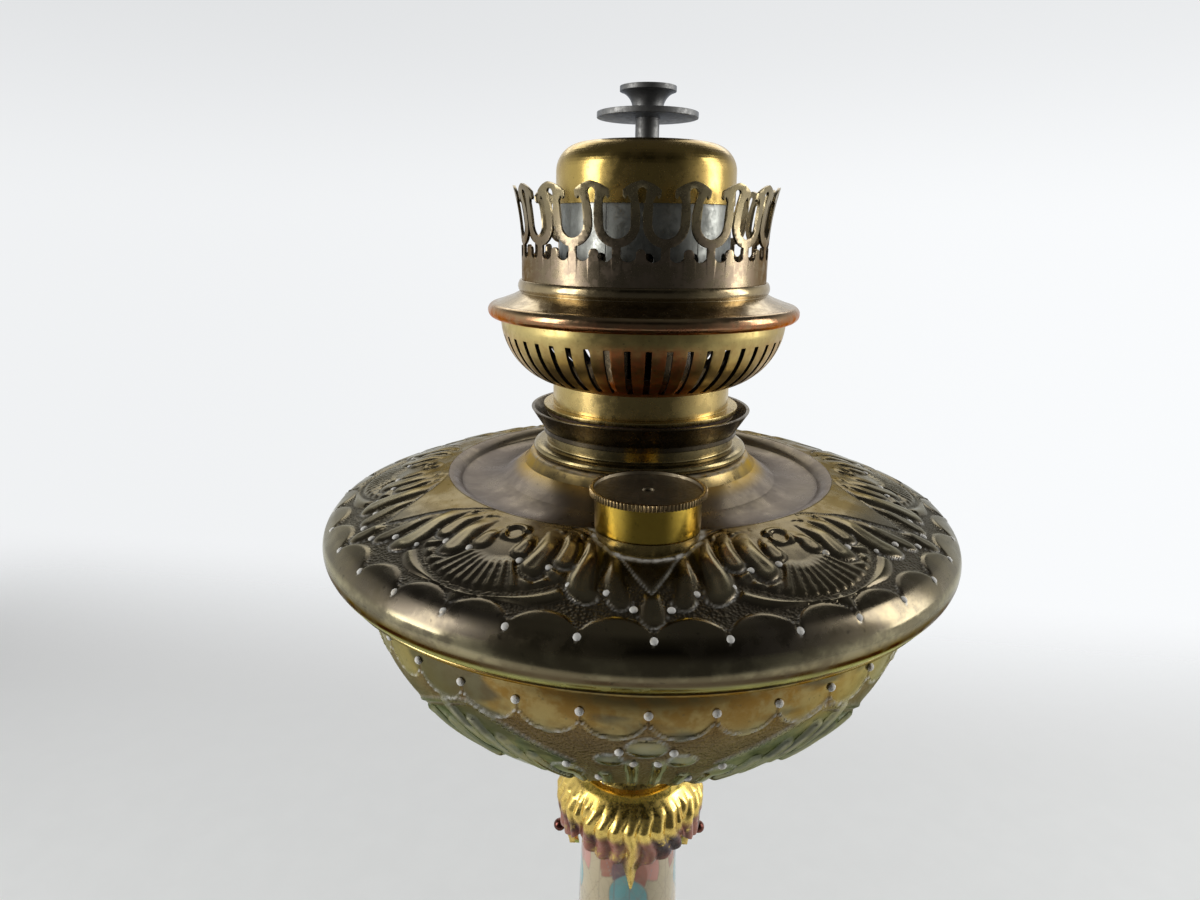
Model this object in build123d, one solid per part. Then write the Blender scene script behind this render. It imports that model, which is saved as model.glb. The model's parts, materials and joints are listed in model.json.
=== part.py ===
from build123d import *
import os
from math import atan2, cos, degrees, pi, radians, sin, sqrt

os.makedirs("parts", exist_ok=True)

# Paraffin table lamp on a ceramic column. Millimetres, +Z up, origin on the table under the lamp's axis.
# The filler stands at the front (-Y) and the wick winder's knob at the back (+Y).

# Clearances
SLIP_FIT = 0.05
THREAD_FIT = 0.10
SEAT_GAP = 0.30
BOLT_ROOM = 0.40
CUT_MARGIN = 2.4

# Shape of milled teeth, as shares of one tooth's pitch
TOOTH_FLANK = 0.3
TOOTH_TIP = 0.2

# Foot: a spun shell over a cast weight, closed by a pressed plate with a well for the nut
FOOT_RADIUS = 70.0
FOOT_WALL = 1.5
RIM_HEIGHT = 3.5
RIM_STEP = 3.5
PLINTH_HEIGHT = 6.0
TORUS_RADIUS = 10.0
SCOTIA_RADIUS = 20.0
FOOT_NECK_RADIUS = 25.0
FOOT_NECK_HEIGHT = 4.0
GADROONS = 36
GADROON_DEPTH = 0.8
GADROON_ROUNDING = 1.6
GADROON_START = 6.0
GADROON_SWEEP = 76.0
PLATE_THICKNESS = 1.5
PLATE_PLAY = 0.2
WELL_RADIUS = 14.5
WELL_DEPTH = 10.0
WEIGHT_RADIUS = 50.0
WEIGHT_HEIGHT = 14.0
WEIGHT_PLAY = 1.0

# Tie rod that holds the stand together
ROD_RADIUS = 4.0
ROD_TAIL = 1.5
NUT_ACROSS_FLATS = 13.0
NUT_HEIGHT = 6.5
WASHER_RADIUS = 10.0
WASHER_HEIGHT = 1.0

# Turned cup that the column stands in
CUP_FLOOR = 6.0
CUP_DEPTH = 15.0
CUP_WALL = 3.2
CUP_BEAD = 2.5
CUP_WAIST = 3.0
CUP_LIP = 1.5

# Ceramic column
COLUMN_LENGTH = 187.5
COLUMN_FOOT_RADIUS = 17.5
COLUMN_TOP_RADIUS = 12.6
COLUMN_SWELL = 0.55
COLUMN_BORE = 6.0

# Leaf capital, its leaves and its two round-headed screws
CAPITAL_FLOOR = 3.0
CAPITAL_MOUTH = 11.0
CAPITAL_LIP_WALL = 1.4
CAPITAL_BULGE = 5.65
BULGE_DROP = 7.0
LEAF_COUNT = 4
LEAF_DROP = 13.0
LEAF_THICKNESS = 1.3
LEAF_NOTCH_TOP = 1.0
LEAF_NOTCH_FULLNESS = 0.42
LIP_TANGENT = (1.0, -0.4)
TIP_TANGENT = (-0.5, -1.0)
SCREW_DROP = 6.6
SCREW_SHANK_RADIUS = 0.9
SCREW_HEAD_RADIUS = 1.65
SCREW_HEAD_STAND = 2.0

# Boss under the font
BOSS_LENGTH = 26.0
BOSS_RADIUS = 11.8
BOSS_WAIST_RADIUS = 9.5
BOSS_SPIGOT = 11.0
BOSS_FLANGE_RADIUS = 15.0
BOSS_FLANGE = 2.0
MOUTH_PLAY = 0.8

# Font: a bowl with a flange, and a shouldered top soldered over it
FONT_WALL = 0.8
FONT_RADIUS = 73.4
ROLL_REACH = 2.9
ROLL_RISE = 6.3
FLANGE_WIDTH = 6.5
LIP_WIDTH = 4.6
BOWL_DEPTH = 44.0
BOWL_BAND = 4.9
BOWL_STEPS = 6
SHOULDER_RISE = 10.4
SHOULDER_SWELL = 0.5
RIDGE_RADIUS = 44.6
RIDGE_HALF = 2.6
RIDGE_RISE = 18.6
RIDGE_FOOT_RISE = 18.0
VALLEY_EDGE_RISE = 16.4
VALLEY_RADIUS = 34.5
VALLEY_RISE = 16.3
FONT_TOP_RADIUS = 25.6
FONT_TOP_RISE = 22.8

# Embossing on the font's shoulder: insets are measured in from the flange, angles from each leaf's axis
EMBOSS_HEIGHT = 0.8
EMBOSS_SINK = 0.2
EMBOSS_UNITS = 6
RIM_LOBES = 36
LOBE_DEPTH = 4.7
LOBE_OUTSET = 1.1
LOBE_FADE = 0.86
FAN_EDGE_INSET = 3.5
FAN_EDGE_RADIUS = 21.7
FAN_PIVOT_INSET = 19.5
FAN_EYE_RADIUS = 6.0
FAN_HALF_ANGLE = 67.0
# Leaf fingers: angle and inset of the foot, angle and inset of the tip, width
FINGERS = (
    (0.0, 9.0, 0.0, 3.7, 3.6),
    (6.4, 17.0, 4.7, 6.6, 3.2),
    (11.8, 21.9, 10.2, 8.5, 4.8),
    (17.4, 22.5, 15.8, 14.9, 3.6),
    (21.6, 21.5, 20.4, 12.3, 4.4),
    (26.6, 19.9, 25.6, 15.5, 3.0),
)

# Collar on the font and the flared drip ring round it
COLLAR_BORE = 20.6
COLLAR_WALL = 1.4
COLLAR_HEIGHT = 9.3
COLLAR_TAIL = 2.5
COLLAR_BEAD_RADIUS = 25.2
COLLAR_BEAD_HEIGHT = 2.3
DRIP_WALL = 0.7
DRIP_SEAT = 4.7
DRIP_BAND = 1.4
DRIP_RISE = 5.8
DRIP_RIM_RADIUS = 25.6

# Filler at the front of the font
FILLER_REACH = 43.5
FILLER_TUBE_RADIUS = 8.6
FILLER_BORE = 7.6
FILLER_FOOT_RADIUS = 10.0
FILLER_FOOT_RISE = 0.5
FILLER_TUBE_RISE = 4.2
FILLER_TAIL = 4.0
CAP_WASHER_HEIGHT = 1.0
CAP_RADIUS = 10.1
CAP_TOP_THICKNESS = 2.0
CAP_RECESS = 0.6
CAP_RIM_RADIUS = 11.1
CAP_RIM_HEIGHT = 1.2
CAP_RIM_WALL = 0.9
CAP_TEETH = 96
CAP_TOOTH_DEPTH = 0.2
CAP_DIMPLE_RADIUS = 1.2
CAP_DIMPLE_DEPTH = 0.5

# Burner base and the slotted basket on it
GASKET_HEIGHT = 1.0
THREAD_WALL = 1.2
THREAD_LENGTH = 7.8
BURNER_FLANGE_RADIUS = 22.7
BURNER_FLANGE = 1.0
NECK_RADIUS = 20.5
NECK_WALL = 0.8
NECK_HEIGHT = 5.2
BASKET_RADIUS = 32.3
BASKET_WALL = 0.8
BASKET_DEPTH = 13.5
BASKET_SAG = 2.9
SLOT_COUNT = 48
SLOT_WIDTH = 1.3
SLOT_BOTTOM = 1.2
SLOT_TOP = 11.2

# Gallery plate, from its flat seat out to the rolled rim
GALLERY_LIFT = 23.0
GALLERY_WALL = 0.8
GALLERY_SEAT_RADIUS = 25.0
GALLERY_BEAD_RADIUS = 28.4
GALLERY_BEAD_DROP = 2.6
GALLERY_STEP_RADIUS = 29.5
GALLERY_STEP_DROP = 3.4
GALLERY_RADIUS = 35.2
GALLERY_SLOPE_DROP = 4.9
GALLERY_ROLL = 1.7
SKIRT_PLAY = 0.4

# Pierced crown that grips the glass
CROWN_RADIUS = 27.5
CROWN_WALL = 0.6
CROWN_FLARE = 1.8
CROWN_HEIGHT = 20.0
CROWN_STRAIGHT = 7.0
PRONG_COUNT = 18
CROWN_TURN = -3.9
BAND_HEIGHT = 4.9
NOTCH_RADIUS = 2.8
NOTCH_CENTRE = 12.1
ARM_WIDTH = 1.7
STEM_HALF = 0.87
HOOK_TIP = 16.7
HOOK_ARCH = 17.4
HOOK_EDGE = 1.35
HOOK_WIDTH = 0.8
CAP_SIDE = 18.3
KEYHOLE_HALF = 0.24
KEYHOLE_WAIST = 14.0
DROP_HALF = 0.85
DROP_TOP = 18.75
TAB_HALF = 0.95
TAB_TOP = 7.4
LOBE_SHOULDER = 5.7

# Air plate, grey sleeve and brass dome inside the crown
AIR_PLATE_THICKNESS = 0.6
AIR_PLATE_BORE = 17.5
AIR_HOLE_COUNT = 24
AIR_HOLE_RADIUS = 1.1
AIR_HOLE_CIRCLE = 22.6
SLEEVE_WALL = 0.5
SLEEVE_HOLE_COUNT = 12
SLEEVE_HOLE_RADIUS = 1.1
SLEEVE_HOLE_RISE = 5.2
DOME_RADIUS = 19.8
DOME_WALL = 0.6
DOME_EDGE = 16.2
DOME_TOP = 29.0
DOME_SHOULDER = 6.0
DOME_HOLE = 12.5

# Wick, its two tubes and the air duct between them
WICK_TUBE_RADIUS = 11.4
WICK_TUBE_WALL = 0.5
WICK_TUBE_TOP = 27.5
WICK_TUBE_TAIL = 40.0
DRAUGHT_RADIUS = 7.8
DRAUGHT_WALL = 0.5
DRAUGHT_TOP = 26.5
DUCT_WIDTH = 8.0
DUCT_HEIGHT = 9.0
DUCT_RISE = 1.5
DUCT_WALL = 0.5
WICK_PLAY = 0.4
WICK_STAND = 1.0
WICK_DOWN = 8.0
WICK_SLOT_PLAY = 0.8
WICK_TAIL_LENGTH = 56.0
WICK_TAIL_WIDTH = 12.0

# Flame spreader and the socket that it stands in
STEM_RADIUS = 2.6
STEM_TAIL = 8.0
SHOULDER_RADIUS = 4.2
SHOULDER_HEIGHT = 1.0
SOCKET_TOP = 19.0
SOCKET_HEIGHT = 5.0
SOCKET_WALL = 1.5
SOCKET_LEGS = 3
SOCKET_LEG_WIDTH = 1.2
DISC_RADIUS = 11.0
DISC_HEIGHT = 34.2
DISC_THICKNESS = 1.2
BUTTON_RADIUS = 6.1
BUTTON_FOOT_RADIUS = 3.3
BUTTON_HEIGHT = 5.2
BUTTON_EDGE = 1.0
BUTTON_FOOT = 0.6
BUTTON_DISH = 0.5

# Wick winder
WINDER_HEIGHT = 2.6
GEAR_RADIUS = 2.3
GEAR_TOOTH_DEPTH = 0.55
GEAR_TEETH = 10
GEAR_WIDTH = 1.4
GEAR_SPREAD = 3.0
SHAFT_RADIUS = 1.25
SHAFT_TAIL = 7.0
BRACKET_EAR = 1.0
BRACKET_INSIDE = 4.6
BRACKET_HALF = 2.4
BRACKET_REACH = 2.4
BUSH_RADIUS = 2.0
BUSH_INSIDE = 12.6
BUSH_OUTSIDE = 21.0
BUSH_NUT_RADIUS = 2.8
BUSH_NUT_HEIGHT = 2.2
KNOB_RADIUS = 8.0
KNOB_START = 40.0
KNOB_THICKNESS = 3.6
KNOB_HUB_RADIUS = 3.2
KNOB_HUB_LENGTH = 4.0
KNOB_TEETH = 30
KNOB_TOOTH_DEPTH = 0.5
KNOB_DISH = 1.0
KNOB_DISH_RADIUS = 5.6

# Heights worked out from the table up
PLATE_TOP = RIM_HEIGHT - FOOT_WALL
PLATE_BOTTOM = PLATE_TOP - PLATE_THICKNESS
WELL_CEILING = PLATE_BOTTOM + WELL_DEPTH
NUT_BOTTOM = WELL_CEILING - WASHER_HEIGHT - NUT_HEIGHT
TORUS_BASE = RIM_HEIGHT + PLINTH_HEIGHT
FOOT_TOP = TORUS_BASE + TORUS_RADIUS + SCOTIA_RADIUS + FOOT_NECK_HEIGHT
COLUMN_BASE = FOOT_TOP + CUP_FLOOR
CAPITAL_BASE = COLUMN_BASE + COLUMN_LENGTH
BOSS_BASE = CAPITAL_BASE + CAPITAL_FLOOR
FONT_BASE = BOSS_BASE + BOSS_LENGTH
SEAM = FONT_BASE + BOWL_DEPTH + BOWL_BAND + FONT_WALL
FONT_TOP = SEAM + FONT_TOP_RISE
COLLAR_TOP = FONT_TOP + COLLAR_HEIGHT
BURNER_BASE = COLLAR_TOP + GASKET_HEIGHT
NECK_TOP = BURNER_BASE + BURNER_FLANGE + NECK_HEIGHT
GALLERY = NECK_TOP + GALLERY_LIFT
FILLER_FOOT_TOP = SEAM + RIDGE_RISE + FILLER_FOOT_RISE
FILLER_TOP = FILLER_FOOT_TOP + FILLER_TUBE_RISE
CAP_UNDERSIDE = FILLER_TOP + CAP_WASHER_HEIGHT
CAP_TOP = CAP_UNDERSIDE + CAP_TOP_THICKNESS + CAP_RECESS

# Radii worked out from the fits
ROD_HOLE = ROD_RADIUS + BOLT_ROOM
FLANGE_RADIUS = FONT_RADIUS - ROLL_REACH
BOWL_RADIUS = FLANGE_RADIUS - FLANGE_WIDTH
COLLAR_RADIUS = COLLAR_BORE + COLLAR_WALL
THREAD_RADIUS = COLLAR_BORE - THREAD_FIT
SLEEVE_RADIUS = DOME_RADIUS - DOME_WALL - SLIP_FIT
AIR_PLATE_RADIUS = CROWN_RADIUS - CROWN_WALL - SLIP_FIT
WICK_RADIUS = WICK_TUBE_RADIUS - WICK_TUBE_WALL - WICK_PLAY
WICK_BORE = DRAUGHT_RADIUS + WICK_PLAY
MOUTH_RADIUS = BOSS_RADIUS + MOUTH_PLAY
SHAFT_OFFSET = WICK_RADIUS + SEAT_GAP + GEAR_RADIUS
SHAFT_HEIGHT = BURNER_BASE + BURNER_FLANGE + WINDER_HEIGHT


def turned(*edges):
    """A solid turned about the lamp's axis from the closed outline that the edges make."""
    return revolve(Plane.XZ * make_face(edges), Axis.Z)


def turned_points(*points):
    """A turned solid with straight sides through (radius, height) points."""
    return turned(Polyline(*points, close=True))


def spun(path, wall, side):
    """Sheet of one thickness spun to a path of (radius, height) edges."""
    sheet = Wire(path).offset_2d(wall, kind=Kind.INTERSECTION, side=side, closed=True)
    return revolve(Plane.XZ * make_face(sheet), Axis.Z)


def tube(radius, bore, bottom, top):
    """A plain tube on the lamp's axis."""
    return turned_points((bore, bottom), (radius, bottom), (radius, top), (bore, top))


def around(count, shape, first=0.0):
    """Copies of a shape, evenly spaced about the lamp's axis."""
    return [Rot(0, 0, first + 360 * i / count) * shape for i in range(count)]


def toothed(radius, depth, count):
    """A flat toothed outline: each tooth has a root, two flanks and a tip."""
    step = 2 * pi / count
    root = radius - depth
    tip_end = TOOTH_FLANK + TOOTH_TIP
    tooth = ((0, root), (TOOTH_FLANK, radius), (tip_end, radius), (tip_end + TOOTH_FLANK, root))
    points = []
    for i in range(count):
        for share, reach in tooth:
            angle = (i + share) * step
            points.append((reach * cos(angle), reach * sin(angle)))
    return make_face(Polyline(*points, close=True))


def outward(face, start, end):
    """A flat outline in the lamp's front plane, carried outwards from one radius to another."""
    return extrude(Plane.XZ.offset(start) * face, end - start)


def mirrored(half):
    """A closed face from one half of an outline that starts and ends on the middle line."""
    return make_face(list(half) + [edge.mirror(Plane.YZ) for edge in half])


def winder_line(radius, start, end):
    """A round bar along the winder's axis."""
    bar = Plane((SHAFT_OFFSET, start, SHAFT_HEIGHT), (1, 0, 0), (0, 1, 0)) * Circle(radius)
    return extrude(bar, end - start)


def foot_shell():
    torus_in = FOOT_RADIUS - RIM_STEP - TORUS_RADIUS
    tread = TORUS_BASE + TORUS_RADIUS
    scotia_out = FOOT_NECK_RADIUS + SCOTIA_RADIUS
    scotia_top = tread + SCOTIA_RADIUS
    path = [
        Line((FOOT_RADIUS, 0), (FOOT_RADIUS, RIM_HEIGHT)),
        Line((FOOT_RADIUS, RIM_HEIGHT), (FOOT_RADIUS - RIM_STEP, RIM_HEIGHT)),
        Line((FOOT_RADIUS - RIM_STEP, RIM_HEIGHT), (FOOT_RADIUS - RIM_STEP, TORUS_BASE)),
        CenterArc((torus_in, TORUS_BASE), TORUS_RADIUS, 0, 90),
        Line((torus_in, tread), (scotia_out, tread)),
        CenterArc((scotia_out, scotia_top), SCOTIA_RADIUS, 270, -90),
        Line((FOOT_NECK_RADIUS, scotia_top), (FOOT_NECK_RADIUS, FOOT_TOP)),
        Line((FOOT_NECK_RADIUS, FOOT_TOP), (ROD_HOLE, FOOT_TOP)),
    ]
    arc_radius = TORUS_RADIUS + GADROON_ROUNDING - GADROON_DEPTH
    sweep = Torus(arc_radius, GADROON_ROUNDING, major_angle=GADROON_SWEEP, align=None)
    groove = Pos(torus_in, 0, TORUS_BASE) * Rot(90, 0, 0) * Rot(0, 0, GADROON_START) * sweep
    return spun(path, FOOT_WALL, Side.LEFT) - around(GADROONS, groove)


def foot_plate():
    edge = FOOT_RADIUS - FOOT_WALL - PLATE_PLAY
    path = [
        Line((edge, PLATE_BOTTOM), (WELL_RADIUS, PLATE_BOTTOM)),
        Line((WELL_RADIUS, PLATE_BOTTOM), (WELL_RADIUS, WELL_CEILING)),
        Line((WELL_RADIUS, WELL_CEILING), (ROD_HOLE, WELL_CEILING)),
    ]
    return spun(path, PLATE_THICKNESS, Side.RIGHT)


def foot_weight():
    bore = WELL_RADIUS + PLATE_THICKNESS + WEIGHT_PLAY
    return tube(WEIGHT_RADIUS, bore, PLATE_TOP, PLATE_TOP + WEIGHT_HEIGHT)


def tie_rod():
    return Pos(0, 0, NUT_BOTTOM - ROD_TAIL) * extrude(Circle(ROD_RADIUS), ROD_TOP - NUT_BOTTOM + ROD_TAIL)


def tie_rod_nut():
    flats = RegularPolygon(NUT_ACROSS_FLATS / 2, 6, major_radius=False) - Circle(ROD_RADIUS + THREAD_FIT)
    return Pos(0, 0, NUT_BOTTOM) * extrude(flats, NUT_HEIGHT)


def tie_rod_washer():
    return tube(WASHER_RADIUS, ROD_HOLE, WELL_CEILING - WASHER_HEIGHT, WELL_CEILING)


def column_cup():
    socket = COLUMN_FOOT_RADIUS + SEAT_GAP
    outside = socket + CUP_WALL
    top = COLUMN_BASE + CUP_DEPTH
    bead_top = FOOT_TOP + 2 * CUP_BEAD
    lip_base = top - 2 * CUP_LIP
    return turned(
        Line((ROD_HOLE, FOOT_TOP), (outside, FOOT_TOP)),
        ThreePointArc((outside, FOOT_TOP), (outside + CUP_BEAD, FOOT_TOP + CUP_BEAD), (outside, bead_top)),
        ThreePointArc(
            (outside, bead_top), (outside - CUP_WAIST / 2, (bead_top + lip_base) / 2), (outside, lip_base)
        ),
        ThreePointArc((outside, lip_base), (outside + CUP_LIP, top - CUP_LIP), (outside, top)),
        Polyline((outside, top), (socket, top), (socket, COLUMN_BASE), (ROD_HOLE, COLUMN_BASE)),
        Line((ROD_HOLE, COLUMN_BASE), (ROD_HOLE, FOOT_TOP)),
    )


def column_shaft():
    middle = (COLUMN_FOOT_RADIUS + COLUMN_TOP_RADIUS) / 2 + COLUMN_SWELL
    return turned(
        Line((COLUMN_BORE, COLUMN_BASE), (COLUMN_FOOT_RADIUS, COLUMN_BASE)),
        Spline(
            (COLUMN_FOOT_RADIUS, COLUMN_BASE),
            (middle, COLUMN_BASE + COLUMN_LENGTH / 2),
            (COLUMN_TOP_RADIUS, CAPITAL_BASE),
        ),
        Line((COLUMN_TOP_RADIUS, CAPITAL_BASE), (COLUMN_BORE, CAPITAL_BASE)),
        Line((COLUMN_BORE, CAPITAL_BASE), (COLUMN_BORE, COLUMN_BASE)),
    )


# Outside of the capital, from its lip over the bulge to the leaf tips
LIP_RADIUS = MOUTH_RADIUS + CAPITAL_LIP_WALL
CAPITAL_TOP = BOSS_BASE + CAPITAL_MOUTH
BULGE_RADIUS = LIP_RADIUS + CAPITAL_BULGE
TIP_HEIGHT = CAPITAL_BASE - LEAF_DROP


def column_radius(height):
    """Outside radius of the swelling column at a height."""
    share = (height - COLUMN_BASE) / COLUMN_LENGTH
    taper = COLUMN_FOOT_RADIUS + (COLUMN_TOP_RADIUS - COLUMN_FOOT_RADIUS) * share
    return taper + 4 * COLUMN_SWELL * share * (1 - share)


def leaf_radius(height):
    """Outside radius of the hanging leaves at a height between their tips and the bulge."""
    bulge_height = CAPITAL_TOP - BULGE_DROP
    share = (height - TIP_HEIGHT) / (bulge_height - TIP_HEIGHT)
    tip_radius = column_radius(TIP_HEIGHT) + SEAT_GAP + LEAF_THICKNESS
    return tip_radius + (BULGE_RADIUS - tip_radius) * sin(share * pi / 2)


def capital():
    bulge_height = CAPITAL_TOP - BULGE_DROP
    heights = (TIP_HEIGHT, (TIP_HEIGHT + CAPITAL_BASE) / 2, CAPITAL_BASE)
    skirt = [(leaf_radius(height), height) for height in heights]
    lining = [(radius - LEAF_THICKNESS, height) for radius, height in skirt]
    cup = turned(
        Polyline((ROD_HOLE, CAPITAL_BASE), (ROD_HOLE, BOSS_BASE), (MOUTH_RADIUS, BOSS_BASE)),
        Polyline((MOUTH_RADIUS, BOSS_BASE), (MOUTH_RADIUS, CAPITAL_TOP), (LIP_RADIUS, CAPITAL_TOP)),
        Spline(
            (LIP_RADIUS, CAPITAL_TOP),
            (BULGE_RADIUS, bulge_height),
            *reversed(skirt),
            tangents=(LIP_TANGENT, TIP_TANGENT),
        ),
        Line(skirt[0], lining[0]),
        Spline(*lining),
        Line(lining[-1], (ROD_HOLE, CAPITAL_BASE)),
    )
    notch_top = CAPITAL_BASE - LEAF_NOTCH_TOP
    half_width = skirt[0][0] * sin(pi / LEAF_COUNT)
    notch_side = ThreePointArc(
        (0, notch_top),
        (half_width * LEAF_NOTCH_FULLNESS, (notch_top + TIP_HEIGHT) / 2),
        (half_width, TIP_HEIGHT),
    )
    notch_base = TIP_HEIGHT - SEAT_GAP
    notch_end = Polyline((half_width, TIP_HEIGHT), (half_width, notch_base), (0, notch_base))
    notch = outward(mirrored([notch_side, *notch_end.edges()]), COLUMN_TOP_RADIUS, 2 * BULGE_RADIUS)
    cup -= around(LEAF_COUNT, notch, 180 / LEAF_COUNT)
    drill_face = Plane.YZ.offset(COLUMN_TOP_RADIUS) * Circle(SCREW_SHANK_RADIUS + SLIP_FIT)
    drill = extrude(drill_face, BULGE_RADIUS)
    return cup - around(2, Pos(0, 0, CAPITAL_BASE - SCREW_DROP) * drill)


def capital_screws():
    seat = leaf_radius(CAPITAL_BASE - SCREW_DROP)
    inner_end = column_radius(CAPITAL_BASE - SCREW_DROP) + SEAT_GAP
    head = Pos(seat + SCREW_HEAD_STAND, 0, 0) * Sphere(SCREW_HEAD_RADIUS)
    shank_face = Plane.YZ.offset(inner_end) * Circle(SCREW_SHANK_RADIUS)
    shank = extrude(shank_face, seat + SCREW_HEAD_STAND - inner_end)
    return around(2, Pos(0, 0, CAPITAL_BASE - SCREW_DROP) * (head + shank))


# The rod ends inside the boss, one flange short of the bowl
ROD_TOP = FONT_BASE - 2 * BOSS_FLANGE


def bowl_line(inset):
    """Quarter ellipse from the bowl's lowest point up to its straight band, set in from the outside."""
    points = []
    for i in range(BOWL_STEPS + 1):
        angle = i / BOWL_STEPS * pi / 2
        height = FONT_BASE + BOWL_DEPTH - (BOWL_DEPTH - inset) * cos(angle)
        points.append(((BOWL_RADIUS - inset) * sin(angle), height))
    return Spline(*points, tangents=((1, 0), (0, 1)))


def font_boss():
    """Turned boss whose flange is hollowed to lie against the round bottom of the bowl."""
    bore = ROD_RADIUS + THREAD_FIT
    spigot_top = BOSS_BASE + BOSS_SPIGOT
    flange_base = FONT_BASE - BOSS_FLANGE
    flange_top = FONT_BASE + BOSS_FLANGE
    blank = turned(
        Polyline((0, ROD_TOP), (bore, ROD_TOP), (bore, BOSS_BASE), (BOSS_RADIUS, BOSS_BASE)),
        Line((BOSS_RADIUS, BOSS_BASE), (BOSS_RADIUS, spigot_top)),
        ThreePointArc(
            (BOSS_RADIUS, spigot_top),
            (BOSS_WAIST_RADIUS, (spigot_top + flange_base) / 2),
            (BOSS_FLANGE_RADIUS, flange_base),
        ),
        Polyline((BOSS_FLANGE_RADIUS, flange_base), (BOSS_FLANGE_RADIUS, flange_top), (0, flange_top)),
        Line((0, flange_top), (0, ROD_TOP)),
    )
    bowl = turned(
        bowl_line(0),
        Polyline((BOWL_RADIUS, FONT_BASE + BOWL_DEPTH), (0, FONT_BASE + BOWL_DEPTH), (0, FONT_BASE)),
    )
    return blank - bowl


def font_bowl():
    band_base = FONT_BASE + BOWL_DEPTH
    band_top = SEAM - FONT_WALL
    inside = BOWL_RADIUS - FONT_WALL
    return turned(
        bowl_line(0),
        Polyline((BOWL_RADIUS, band_base), (BOWL_RADIUS, band_top), (FLANGE_RADIUS, band_top)),
        Polyline((FLANGE_RADIUS, band_top), (FLANGE_RADIUS, SEAM), (inside, SEAM), (inside, band_base)),
        bowl_line(FONT_WALL),
        Line((0, FONT_BASE + FONT_WALL), (0, FONT_BASE)),
    )


def font_top_path():
    """Outside of the font's top, from the lip under its rolled edge in to the flat under the collar."""
    shoulder = (FLANGE_RADIUS, SEAM + SHOULDER_RISE)
    ridge_out = (RIDGE_RADIUS + RIDGE_HALF, SEAM + RIDGE_FOOT_RISE)
    ridge_in = (RIDGE_RADIUS - RIDGE_HALF, SEAM + VALLEY_EDGE_RISE)
    swell = ((shoulder[0] + ridge_out[0]) / 2, (shoulder[1] + ridge_out[1]) / 2 + SHOULDER_SWELL)
    return [
        Line((FLANGE_RADIUS - LIP_WIDTH, SEAM), (FLANGE_RADIUS, SEAM)),
        ThreePointArc((FLANGE_RADIUS, SEAM), (FONT_RADIUS, SEAM + ROLL_RISE), shoulder),
        Line(shoulder, swell),
        Line(swell, ridge_out),
        ThreePointArc(ridge_out, (RIDGE_RADIUS, SEAM + RIDGE_RISE), ridge_in),
        ThreePointArc(ridge_in, (VALLEY_RADIUS, SEAM + VALLEY_RISE), (FONT_TOP_RADIUS, FONT_TOP)),
        Line((FONT_TOP_RADIUS, FONT_TOP), (COLLAR_RADIUS + SLIP_FIT, FONT_TOP)),
    ]


def emboss_layer():
    """Skin over the font's shoulder, from the ridge out to where the lobes run out on the roll."""
    _, roll, outer_slope, inner_slope, *_ = font_top_path()
    surface = [roll @ 1, outer_slope @ 1, inner_slope @ 1]
    low = [point - Vector(0, EMBOSS_SINK) for point in surface]
    high = [point + Vector(0, EMBOSS_HEIGHT) for point in surface]
    fade = roll @ LOBE_FADE - Vector(EMBOSS_SINK, EMBOSS_SINK)
    return turned(Polyline(*reversed(low), fade, *high, close=True))


def on_shoulder(angle, inset):
    """Place on the font's shoulder seen from above, at an angle from the front and an inset from the flange."""
    radius = FLANGE_RADIUS - inset
    return Vector(radius * sin(radians(angle)), -radius * cos(radians(angle)))


def finger(foot, tip, width):
    """Round-ended outline between two places."""
    along = tip - foot
    slot = SlotCenterToCenter(along.length, width)
    return Pos(*((foot + tip) / 2)) * Rot(0, 0, degrees(atan2(along.Y, along.X))) * slot


def fan():
    """Outline of one fan, opening outwards along X from its pivot."""
    pivot = FLANGE_RADIUS - FAN_PIVOT_INSET
    edge_centre = FLANGE_RADIUS - FAN_EDGE_INSET - FAN_EDGE_RADIUS
    reach = 2 * FAN_EDGE_RADIUS
    side = (pivot + reach * cos(radians(FAN_HALF_ANGLE)), reach * sin(radians(FAN_HALF_ANGLE)))
    wedge = Polygon(
        (pivot, 0), (side[0], -side[1]), (pivot + reach, -side[1]), (pivot + reach, side[1]), side, align=None
    )
    return (Pos(edge_centre, 0) * Circle(FAN_EDGE_RADIUS) & wedge) - Pos(pivot, 0) * Circle(FAN_EYE_RADIUS)


def emboss_outlines():
    """Outlines of the lobes, fans and fingers seen from above, clear of the filler's foot."""
    unit = 360 / EMBOSS_UNITS
    lobe_circle = FLANGE_RADIUS + LOBE_OUTSET
    lobe = Ellipse(LOBE_DEPTH, pi * lobe_circle / RIM_LOBES)
    shapes = [place * lobe for place in PolarLocations(lobe_circle, RIM_LOBES, 180 / RIM_LOBES - 90)]
    shapes += [place * fan() for place in PolarLocations(0, EMBOSS_UNITS, unit / 2 - 90)]
    for foot_angle, foot_inset, tip_angle, tip_inset, width in FINGERS:
        sides = (1, -1) if tip_angle else (1,)
        for i in range(EMBOSS_UNITS):
            for side in sides:
                foot = on_shoulder(i * unit + side * foot_angle, foot_inset)
                tip = on_shoulder(i * unit + side * tip_angle, tip_inset)
                shapes.append(finger(foot, tip, width))
    return Sketch() + shapes - Pos(0, -FILLER_REACH) * Circle(FILLER_FOOT_RADIUS + SEAT_GAP)


def font_top():
    shell = spun(font_top_path(), FONT_WALL, Side.LEFT)
    hole = Pos(0, -FILLER_REACH, SEAM) * extrude(Circle(FILLER_TUBE_RADIUS + SLIP_FIT), FONT_TOP_RISE)
    relief = emboss_layer() & Pos(0, 0, SEAM) * extrude(emboss_outlines(), FONT_TOP_RISE)
    return shell - hole + relief


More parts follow.
